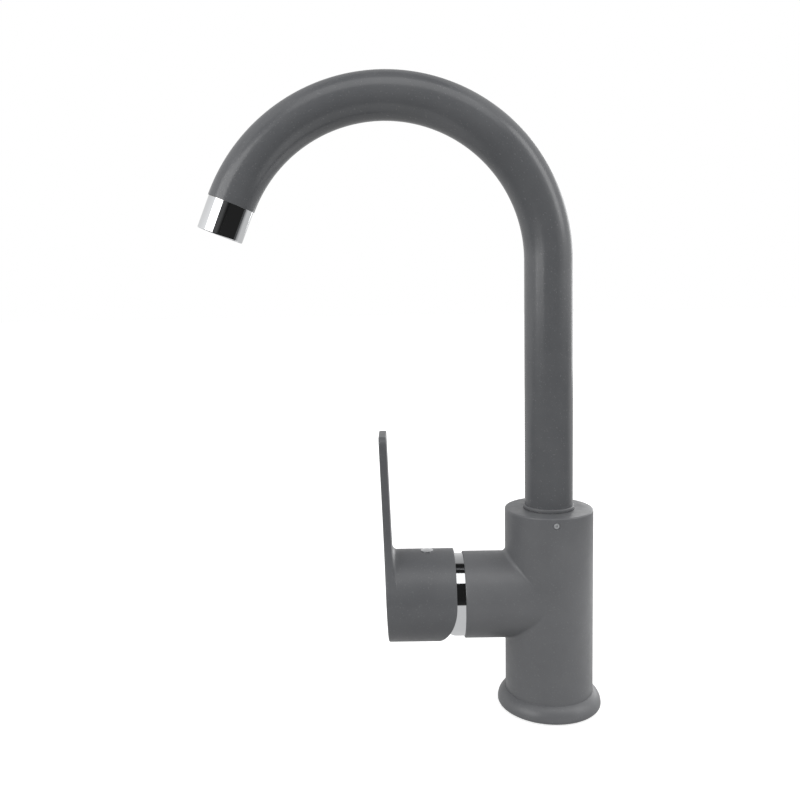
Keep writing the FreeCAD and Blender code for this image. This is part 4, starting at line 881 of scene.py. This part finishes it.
def made_by(tree, values, place=UPRIGHT):
    """Runs a tree once on an empty mesh, and gives its result as a plain mesh in metres."""
    work = bpy.data.objects.new("work", bpy.data.meshes.new("work"))
    scene.collection.objects.link(work)
    modifier = work.modifiers.new("rule", "NODES")
    modifier.node_group = tree
    for item in tree.interface.items_tree:
        if item.item_type == "SOCKET" and item.in_out == "INPUT":
            modifier[item.identifier] = values[item.name]
    graph = bpy.context.evaluated_depsgraph_get()
    mesh = bpy.data.meshes.new_from_object(work.evaluated_get(graph))
    work.modifiers.remove(modifier)
    bpy.data.objects.remove(work)
    mesh.transform(Matrix.Scale(MM, 4) @ place)
    made = bmesh.new()
    made.from_mesh(mesh)
    bmesh.ops.remove_doubles(made, verts=made.verts, dist=WELD_WITHIN)
    bmesh.ops.recalc_face_normals(made, faces=made.faces)
    made.to_mesh(mesh)
    made.free()
    smooth(mesh)
    return mesh


print("helpers for rules are ready, in", scene.unit_settings.length_unit.lower())

# %% [markdown]
# The rule takes its sizes as named inputs, so the same tree would bend any other tube. It never
# sees a finished curve: it reckons where each station of the path has to be, the way a bending
# machine is set, by the straight length, the bend's radius and the angle.

# %% The tube's rule
FLOAT, WHOLE, MATERIAL = "NodeSocketFloat", "NodeSocketInt", "NodeSocketMaterial"
tree, size = new_rule("bent_tube", {
    "Radius": FLOAT, "Wall": FLOAT, "Foot": FLOAT, "Rise": FLOAT, "Bend Radius": FLOAT, "Sweep": FLOAT,
    "Stations": WHOLE, "Sides": WHOLE, "Material": MATERIAL,
})
bend_length = reckon(tree, "MULTIPLY", size["Bend Radius"], size["Sweep"])
far_end = add_node(tree, "ShaderNodeCombineXYZ", Z=reckon(tree, "ADD", size["Rise"], bend_length))
line = add_node(tree, "GeometryNodeCurvePrimitiveLine", End=far_end.outputs["Vector"])
stations = add_node(tree, "GeometryNodeResampleCurve", Curve=line.outputs["Curve"], Count=size["Stations"])
station = tree.nodes.new("GeometryNodeInputPosition").outputs["Position"]
travel = add_node(tree, "ShaderNodeSeparateXYZ", Vector=station).outputs["Z"]

past = reckon(tree, "MAXIMUM", reckon(tree, "SUBTRACT", travel, size["Rise"]), 0.0)
angle = reckon(tree, "DIVIDE", past, size["Bend Radius"])
cosine, sine = reckon(tree, "COSINE", angle), reckon(tree, "SINE", angle)
over = reckon(tree, "MULTIPLY", size["Bend Radius"], reckon(tree, "SUBTRACT", cosine, 1.0))
straight = reckon(tree, "ADD", size["Foot"], reckon(tree, "MINIMUM", travel, size["Rise"]))
height = reckon(tree, "ADD", straight, reckon(tree, "MULTIPLY", size["Bend Radius"], sine))
bent_to = add_node(tree, "ShaderNodeCombineXYZ", X=over, Z=height).outputs["Vector"]
path = add_node(tree, "GeometryNodeSetPosition", Geometry=stations.outputs["Curve"], Position=bent_to)

bore = add_node(tree, "GeometryNodeCurvePrimitiveCircle", Resolution=size["Sides"],
                Radius=reckon(tree, "SUBTRACT", size["Radius"], size["Wall"]))
inside = add_node(tree, "GeometryNodeCurveToMesh", Curve=path.outputs["Geometry"],
                  Profile_Curve=bore.outputs["Curve"])
outside = add_node(tree, "GeometryNodeExtrudeMesh", {"mode": "FACES"}, Mesh=inside.outputs["Mesh"],
                   Offset_Scale=size["Wall"], Individual=False)
both = tree.nodes.new("GeometryNodeJoinGeometry")
tree.links.new(inside.outputs["Mesh"], both.inputs["Geometry"])
tree.links.new(outside.outputs["Mesh"], both.inputs["Geometry"])
end_rule(tree, both.outputs["Geometry"], size["Material"])
bent_tube = tree
print(f"rule {bent_tube.name}: {len(bent_tube.nodes)} nodes")

# %% [markdown]
# The rule is run once with the spout's sizes, and its result is kept as a plain mesh. The
# straight part stands on a low collar, a turned ring that hides where the tube is soldered to its
# brass spigot.

# %% Make the spout
TUBE_RADIUS, TUBE_WALL, TUBE_RISE, BEND, SWEEP = 12.5, 1.2, 128.0, 84.4, math.radians(157.8)
COLLAR_INNER, COLLAR_OUTER, COLLAR_GAP, COLLAR_HIGH = 10.22, 13.2, 0.25, 1.6
STATIONS, SIDES = 200, 112
collar_low = BODY_TOP + COLLAR_GAP
tube_foot = collar_low + COLLAR_HIGH
spout_mesh = made_by(bent_tube, {
    "Radius": TUBE_RADIUS, "Wall": TUBE_WALL, "Foot": tube_foot, "Rise": TUBE_RISE, "Bend Radius": BEND,
    "Sweep": SWEEP, "Stations": STATIONS, "Sides": SIDES, "Material": shaded_tube_paint,
})
show("swan_neck", spout_mesh, "grey_paint", "spout_tube")
collar_outline = [(COLLAR_INNER, collar_low, 0.1), (COLLAR_OUTER, collar_low, 0.12)]
collar_outline += [(COLLAR_OUTER, tube_foot, 0.4), (COLLAR_INNER, tube_foot)]
show("neck_collar", turned("neck_collar", collar_outline), "grey_paint", "spout_collar")

# %% [markdown]
# At the outlet sits the aerator: a chrome shell, and in its mouth a perforated screen. The holes
# of the screen stand in rings, six more in each, which is a rule again: a circle of points for
# each ring, a small cylinder on each point, and one Boolean that takes them out of the disc.

# %% Aerator shell
SHELL_RADIUS, SHELL_LENGTH, LIP_RADIUS, LIP_LOW = 12.0, 17.3, 9.6, 15.8
SHELL_BORE, THREAD_RADIUS, THREAD_END = 10.6, 10.95, 9.6
outlet_x, outlet_z = BEND * (math.cos(SWEEP) - 1), tube_foot + TUBE_RISE + BEND * math.sin(SWEEP)
DOWN_THE_TUBE = Matrix.Rotation(SWEEP, 4, Vector((0, -1, 0)))
AT_OUTLET = Matrix.Translation((outlet_x, 0, outlet_z)) @ DOWN_THE_TUBE
shell_outline = [
    (THREAD_RADIUS, 0.0, 0.03), (SHELL_RADIUS, 0.0, 0.06), (SHELL_RADIUS, SHELL_LENGTH, 0.5),
    (LIP_RADIUS, SHELL_LENGTH, 0.25), (LIP_RADIUS, LIP_LOW, 0.1), (SHELL_BORE, LIP_LOW),
    (SHELL_BORE, THREAD_END), (THREAD_RADIUS, THREAD_END),
]
shell_mesh = turned("aerator_ring", shell_outline, AT_OUTLET, steps=192)
show("aerator_ring", shell_mesh, "polished_chrome", "aerator_shell")

# %% [markdown]
# The screen is steel, punched and a little recessed, so it only shows from below. Only a rule
# would keep its holes in step when the pitch or the disc's size changes.

# %% Aerator screen
SCREEN_RADIUS, SCREEN_THICKNESS, SCREEN_AT, HOLE_RADIUS, PITCH = 10.4, 1.2, 15.2, 0.8, 2.55
tree, size = new_rule("perforated_disc", {
    "Radius": FLOAT, "Thickness": FLOAT, "Hole Radius": FLOAT, "Pitch": FLOAT, "Material": MATERIAL,
})
disc = add_node(tree, "GeometryNodeMeshCylinder", Vertices=96, Radius=size["Radius"],
                Depth=size["Thickness"])
spots = tree.nodes.new("GeometryNodeJoinGeometry")
centre_spot = add_node(tree, "GeometryNodeMeshLine", Count=1)
tree.links.new(centre_spot.outputs["Mesh"], spots.inputs["Geometry"])
for ring_number in (1, 2, 3):
    circle = add_node(tree, "GeometryNodeMeshCircle", Vertices=6 * ring_number,
                      Radius=reckon(tree, "MULTIPLY", size["Pitch"], float(ring_number)))
    tree.links.new(circle.outputs["Mesh"], spots.inputs["Geometry"])
punch = add_node(tree, "GeometryNodeMeshCylinder", Vertices=20, Radius=size["Hole Radius"],
                 Depth=reckon(tree, "MULTIPLY", size["Thickness"], 2.0))
punches = add_node(tree, "GeometryNodeInstanceOnPoints", Points=spots.outputs["Geometry"],
                   Instance=punch.outputs["Mesh"])
real = add_node(tree, "GeometryNodeRealizeInstances", Geometry=punches.outputs["Instances"])
pierced = add_node(tree, "GeometryNodeMeshBoolean", {"operation": "DIFFERENCE", "solver": "EXACT"})
tree.links.new(disc.outputs["Mesh"], pierced.inputs["Mesh 1"])
tree.links.new(real.outputs["Geometry"], pierced.inputs["Mesh 2"])
end_rule(tree, pierced.outputs["Mesh"], size["Material"])
screen_mesh = made_by(tree, {
    "Radius": SCREEN_RADIUS, "Thickness": SCREEN_THICKNESS, "Hole Radius": HOLE_RADIUS, "Pitch": PITCH,
    "Material": steel,
}, AT_OUTLET @ Matrix.Translation((0, 0, SCREEN_AT)))
show("outlet_screen", screen_mesh, "steel", "aerator_screen")

# %% [markdown]
# The chrome cover between arm and lever has a straight skirt, which is why its bands run straight
# across in the photograph, and a shoulder on a ball about the lever's pivot, so it keeps its gap
# to the lever however that is tilted. A round joins the two. The ball is as large as the swing
# of the hub's rim allows.

# %% Chrome dome
PIVOT, HUB, HUB_WALL, HUB_BACK = 29.5, 24.1, 1.4, 10.9
SKIRT, SHOULDER, DOME_WALL, DOME_GAP = 21.5, 6.0, 1.5, 0.4
DOME_LOW, DOME_HIGH, STEP_HIGH, STEP_RADIUS = 35.6, 45.5, 38.55, 19.65
dome = math.hypot(HUB_BACK, HUB - HUB_WALL) - DOME_GAP


def ball_angle(along, radius):
    """The angle at which a ball about the pivot reaches this far along the axis."""
    return math.degrees(math.asin((along - PIVOT) / radius))


skirt_end = math.sqrt((dome - SHOULDER) ** 2 - (SKIRT - SHOULDER) ** 2)
turn_out = math.degrees(math.atan2(skirt_end, SKIRT - SHOULDER))
ball_inner, skirt_inner = dome - DOME_WALL, SKIRT - DOME_WALL
turn_in = math.degrees(math.acos(skirt_inner / ball_inner))
dome_outline = [(STEP_RADIUS, DOME_LOW, 0.1), (SKIRT, DOME_LOW, 0.15)]
dome_outline += arc((SKIRT - SHOULDER, PIVOT + skirt_end), SHOULDER, 0, turn_out, 14)
dome_outline += arc((0, PIVOT), dome, turn_out, ball_angle(DOME_HIGH, dome), 8)[1:]
dome_outline += arc((0, PIVOT), ball_inner, ball_angle(DOME_HIGH, ball_inner), turn_in, 8)
dome_outline += [(skirt_inner, STEP_HIGH), (STEP_RADIUS, STEP_HIGH, 0.1)]
print(f"dome: a ball of {dome:.2f} mm, a skirt of {SKIRT} mm")
dome_mesh = turned("arm_dome", dome_outline, ON_CARTRIDGE_AXIS, steps=224)
show("arm_dome", dome_mesh, "polished_chrome", "dome_cover")

# %% [markdown]
# The lever is a second casting: a round hub, and a flat paddle that stands on the hub's outer
# face and flares into it. Seen from the front it is one outline, and every point of the lever
# can be reached straight out from the hub's axis, so the whole casting is one skin of columns.
# Each column starts in the middle of the front, runs out to the outline, over the edge's round,
# down the side, back along the paddle to the hub, through the blend and down the hub's wall.

# %% The lever's outline
HALF_WIDTH, FLARE, PADDLE_TOP, CORNER = 13.0, 106.0, 87.4, 4.0
HUB_STEPS, FLARE_STEPS, SIDE_STEPS, CORNER_STEPS, TOP_STEPS = 100, 44, 18, 12, 8
QUARTER = math.pi / 2
touch = math.acos((HALF_WIDTH + FLARE) / (HUB + FLARE))
flare_height = (HUB + FLARE) * math.sin(touch)


def half_outline():
    """The right side from the bottom up, as (across, up) and the outward direction (across, up)."""
    points = []
    for angle in np.linspace(-QUARTER, touch, HUB_STEPS):
        cosine, sine = math.cos(angle), math.sin(angle)
        points.append((HUB * cosine, HUB * sine, cosine, sine))
    for angle in np.linspace(touch, 0, FLARE_STEPS)[1:]:
        cosine, sine = math.cos(angle), math.sin(angle)
        across, up = HALF_WIDTH + FLARE - FLARE * cosine, flare_height - FLARE * sine
        points.append((across, up, cosine, sine))
    for height in np.linspace(flare_height, PADDLE_TOP - CORNER, SIDE_STEPS)[1:]:
        points.append((HALF_WIDTH, height, 1.0, 0.0))
    for angle in np.linspace(0, QUARTER, CORNER_STEPS)[1:]:
        cosine, sine = math.cos(angle), math.sin(angle)
        across, up = HALF_WIDTH - CORNER + CORNER * cosine, PADDLE_TOP - CORNER + CORNER * sine
        points.append((across, up, cosine, sine))
    for across in np.linspace(HALF_WIDTH - CORNER, 0, TOP_STEPS)[1:]:
        points.append((across, PADDLE_TOP, 0.0, 1.0))
    return points


right_side = half_outline()
left_side = [(-v, u, -nv, nu) for v, u, nv, nu in right_side[-2:0:-1]]
lever_edge = right_side + left_side
print(f"lever: {len(lever_edge)} columns")

# %% [markdown]
# A column is one walk over the casting, from the middle of its face to the root of its hub, in
# the plane that holds the axis. Neighbouring columns have the same number of points, so joining
# them gives clean strips that follow the casting's own edges. The rounds get more points than
# the flats, because the rounds are what catch the light. The front comes first: its face leans
# a little, and its edge is rounded. In the code v is across and u is up, and nv and nu are the
# outline's outward direction there.

# %% The front of a column
FRONT, LEAN, EDGE_ROUND = 76.4, math.radians(1.85), 0.8
FACE_SHARES, EDGE_STEPS = (0.12, 0.3, 0.5, 0.7, 0.88, 0.97), 7


def front_at(up):
    """How far out the front lies at this height."""
    return FRONT + up * math.tan(LEAN)


def front_points(v, u, nv, nu):
    """Points (across, up, out) over the face and the front edge's round."""
    edge_v, edge_u = v - EDGE_ROUND * nv, u - EDGE_ROUND * nu
    points = [(edge_v * share, edge_u * share, front_at(edge_u * share)) for share in FACE_SHARES]
    for turn in np.linspace(0, QUARTER, EDGE_STEPS):
        inset, depth = EDGE_ROUND * (1 - math.sin(turn)), EDGE_ROUND * (1 - math.cos(turn))
        points.append((v - inset * nv, u - inset * nu, front_at(u - inset * nu) - depth))
    return points


print("points on the front of a column:", len(front_points(*lever_edge[0])))

# %% [markdown]
# The paddle's back runs parallel to its front, and a blend leads it down into the hub's wall.
# The blend is most of a quarter round whose centre stands off the hub, so its height follows
# from the distance to the axis. Where the outline is the hub's own there is no back to speak of,
# and the same points crowd together there, which keeps every column alike.

# %% The back of a column
THICKNESS, BACK_ROUND, ROUND_SHARE, BLEND, BITE = 3.9, 0.45, 0.45, 3.3, 0.3
BACK_EDGE_STEPS, BACK_STEPS, BLEND_STEPS = 5, 9, 10
blend_out = HUB - BITE + BLEND
blend_turn = math.asin((blend_out - HUB) / BLEND)


def back_at(reach, height):
    """How far out the paddle's back or its blend lies, at this distance from the axis."""
    inside = min(max(blend_out - reach, 0.0), blend_out - HUB)
    return front_at(height) - THICKNESS - BLEND + math.sqrt(BLEND ** 2 - inside ** 2)


def back_points(v, u, nv, nu):
    """Points over the back edge's round, the paddle's back and the blend, and the ray they end on."""
    soft = min(BACK_ROUND, ROUND_SHARE * max(math.hypot(v, u) - HUB, 0.0))
    low_v, low_u = v - soft * nv, u - soft * nu
    low_out = math.hypot(low_v, low_u)
    points = []
    for turn in np.linspace(0, QUARTER, BACK_EDGE_STEPS):
        inset, depth = soft * (1 - math.cos(turn)), soft * (1 - math.sin(turn))
        here_v, here_u = v - inset * nv, u - inset * nu
        points.append((here_v, here_u, back_at(low_out, here_u) + depth))
    ray_v, ray_u = low_v / low_out, low_u / low_out
    plane_end = min(low_out, blend_out)
    begin = math.asin(min(max((blend_out - plane_end) / BLEND, 0.0), 1.0))
    turns = np.linspace(begin, blend_turn, BLEND_STEPS)[1:]
    reaches = [low_out + (plane_end - low_out) * share for share in np.linspace(0, 1, BACK_STEPS)[1:]]
    reaches += [blend_out - BLEND * math.sin(turn) for turn in turns]
    points += [(ray_v * reach, ray_u * reach, back_at(reach, ray_u * reach)) for reach in reaches]
    return points, ray_v, ray_u


print("points on the back of a column:", len(back_points(*lever_edge[0])[0]))

# %% [markdown]
# From the blend a column goes down the hub's wall to its rear rim. The rim is square above and
# drawn forward in a bow below, as the photograph shows. Round the rim the column turns into the
# hub's bore, runs back to its floor, and ends on the boss that takes the cartridge's stem. The
# boss's end is hollowed to a ball about the pivot, so it clears the chrome dome at every tilt.

# %% The hub of a column
BOW, BOW_START, RIM_ROUND, RIM_INSIDE = 37.2, 1.5, 0.4, 0.3
BOSS, BOSS_MIDDLE, FLOOR_DEPTH, BOSS_CLEAR = 8.0, 5.0, 5.4, 2.17
WALL_SHARES, BORE_SHARES = np.linspace(0, 1, 12)[1:], np.linspace(0, 1, 7)
RIM_STEPS = ((-0.05, 0.2), (-0.18, 0.06), (-0.4, 0.0))
BORE_STEPS = ((0.3, 0.0), (0.08, 0.08))
hub_bore, floor_at, boss_ball = HUB - HUB_WALL, FRONT - FLOOR_DEPTH, SKIRT + BOSS_CLEAR
rim_points = [(HUB + step, lift) for step, lift in RIM_STEPS]
rim_points += [(hub_bore + step, lift) for step, lift in BORE_STEPS]


def rim_at(up):
    """How far out the hub's rear rim lies at this height."""
    drop = max(BOW_START - up, 0.0)
    return PIVOT + HUB_BACK + BOW - math.sqrt(BOW ** 2 - drop ** 2)


def boss_at(reach):
    """How far out the boss's hollow end lies at this distance from the axis."""
    return PIVOT + math.sqrt(boss_ball ** 2 - reach ** 2)


def hub_points(ray_v, ray_u):
    """Points down the hub's wall, round its rim, along its bore and down the boss, on one ray."""
    wall_top = back_at(HUB, ray_u * HUB)
    wall_end = rim_at(ray_u * HUB) + RIM_ROUND
    bore_end = rim_at(ray_u * hub_bore) + RIM_INSIDE
    places = [(HUB, wall_top + (wall_end - wall_top) * share) for share in WALL_SHARES]
    places += [(reach, rim_at(ray_u * reach) + lift) for reach, lift in rim_points]
    places += [(hub_bore, bore_end + (floor_at - bore_end) * share) for share in BORE_SHARES]
    places += [(BOSS, floor_at), (BOSS, boss_at(BOSS)), (BOSS_MIDDLE, boss_at(BOSS_MIDDLE))]
    return [(ray_v * reach, ray_u * reach, out) for reach, out in places]


print(f"hub: rim at {rim_at(HUB):.1f} mm above and {rim_at(-HUB):.1f} mm below, boss {boss_at(0):.1f} mm")

# %% [markdown]
# The columns are turned into rows by pairing their points up. A point in the middle of the face
# and one in the middle of the boss close the skin at its two ends.

# %% The lever's skin
def column(v, u, nv, nu):
    """One column of the lever, from the middle of the front to the end of the boss."""
    back, ray_v, ray_u = back_points(v, u, nv, nu)
    return front_points(v, u, nv, nu) + back + hub_points(ray_v, ray_u)


def from_lever(point):
    """From (across, up, out) on the lever to the tap's own frame."""
    v, u, w = point
    return (-SEAT - w, v, ARM_HEIGHT + u)


lever_rows = [[(0.0, 0.0, front_at(0.0))]]
lever_rows += zip(*[column(*point) for point in lever_edge])
lever_rows.append([(0.0, 0.0, boss_at(0.0))])
lever_rows = [[from_lever(point) for point in row] for row in lever_rows]
lever_mesh = closed_mesh("lever", [(*skin_of(lever_rows), 0)])
lever_mesh.materials.append(shaded_lever_paint)
print(f"lever: {len(lever_mesh.polygons)} faces before drilling")

# %% [markdown]
# Three holes are cut into the lever: the square socket that takes the cartridge's stem, the
# threaded hole of the clamp screw, and a wider seat over it for the plug that hides the screw.

# %% The lever's holes
SOCKET_HALF, SOCKET_BACK, SOCKET_FLOOR = 4.06, 50.0, 64.05
CLAMP_OUT, CLAMP_HOLE, CLAMP_TOP = 54.7, 2.15, 21.4
CAP_HOLE, CAP_FLOOR, CAP_CLEAR = 3.35, 21.0, 26.0
UP_FROM_AXIS = Matrix.Translation((-SEAT - CLAMP_OUT, 0, ARM_HEIGHT))


def prism(name, outline, place, start, end):
    """A straight prism on an outline, closed by a middle point at either end."""
    rows = [[place((x, y, z)) for x, y in outline] for z in (start, end)]
    rows = [[place((0, 0, start))]] + rows + [[place((0, 0, end))]]
    return closed_mesh(name, [(*skin_of(rows), 0)])


socket_outline = [(x * SOCKET_HALF, y * SOCKET_HALF) for x, y in SQUARE]
stem_socket = prism("socket", socket_outline, from_lever, SOCKET_BACK, SOCKET_FLOOR)
clamp_drill = turned("drill", drill(CLAMP_HOLE, 0.0, CLAMP_TOP), UP_FROM_AXIS, steps=48)
cap_drill = turned("drill", drill(CAP_HOLE, CAP_FLOOR, CAP_CLEAR), UP_FROM_AXIS, steps=64)
lever_steps = [("DIFFERENCE", [tool]) for tool in (stem_socket, clamp_drill, cap_drill)]
lever_mesh = cut(lever_mesh, *lever_steps)
show("side_lever", lever_mesh, "grey_paint", "lever")

# %% [markdown]
# The plug is a snapped-in cap with a slightly bowed top. It is the light spot on the hub's upper
# side in the photograph, and a flat top would flash on and off as the lever turns.

# %% Index plug
CAP_RADIUS, CAP_CROWN, CAP_PROUD, CAP_GAP = 3.3, 0.45, 0.7, 0.2
cap_low, cap_high = hub_bore + CAP_GAP, HUB + CAP_PROUD
bow = (CAP_RADIUS ** 2 + CAP_CROWN ** 2) / (2 * CAP_CROWN)
tilt = math.degrees(math.asin(CAP_RADIUS / bow))
cap_outline = [(0, cap_low), (CAP_RADIUS, cap_low, 0.1), *arc((0, cap_high - bow), bow, 90 - tilt, 90, 10)]
cap_outline[-1] = (0, cap_high)
cap_mesh = turned("index_plug", cap_outline, UP_FROM_AXIS, steps=96)
show("index_plug", cap_mesh, "polished_chrome", "index_cap")

# %% [markdown]
# The small bright point near the top of the body is the screw that keeps the spout in. It has a
# hexagon socket and a chamfer, and it sits just below the paint. A polished end would mirror the
# dark side of the room, so this one has the dull pale coat of zinc that such screws have.

# %% Lock screw
LOCK_RADIUS, LOCK_START, LOCK_END, LOCK_CHAMFER = 1.55, 10.3, 22.85, 0.35
TIP_RADIUS, TIP_START = 1.0, 8.7
KEY_RADIUS, KEY_FLOOR, KEY_CLEAR = 0.866, 22.0, 23.2
zinc = mottled(
    "steel_zinc_coat", metallic=0.35, tones=((0.47, 0.48, 0.49), (0.60, 0.61, 0.62)), clouds=(900.0, 3.0),
    roughness=(0.42, 0.58), marks=(1400.0, 2.0),
)
screw_outline = [
    (0, TIP_START), (TIP_RADIUS, TIP_START, 0.2), (TIP_RADIUS, LOCK_START), (LOCK_RADIUS, LOCK_START),
    (LOCK_RADIUS, LOCK_END - LOCK_CHAMFER), (LOCK_RADIUS - LOCK_CHAMFER, LOCK_END), (0, LOCK_END),
]
screw_mesh = turned("screw", screw_outline, AT_LOCK_SCREW, steps=64)
sixths = [math.radians(angle) for angle in range(0, 360, 60)]
hexagon = [(math.cos(angle) * KEY_RADIUS, math.sin(angle) * KEY_RADIUS) for angle in sixths]
key = prism("key", hexagon, lambda point: AT_LOCK_SCREW @ Vector(point), KEY_FLOOR, KEY_CLEAR)
screw_mesh = cut(screw_mesh, ("DIFFERENCE", [key]))
screw_mesh.materials.clear()
screw_mesh.materials.append(zinc)
show("neck_lock_screw", screw_mesh, "steel", "spout_lock_screw")
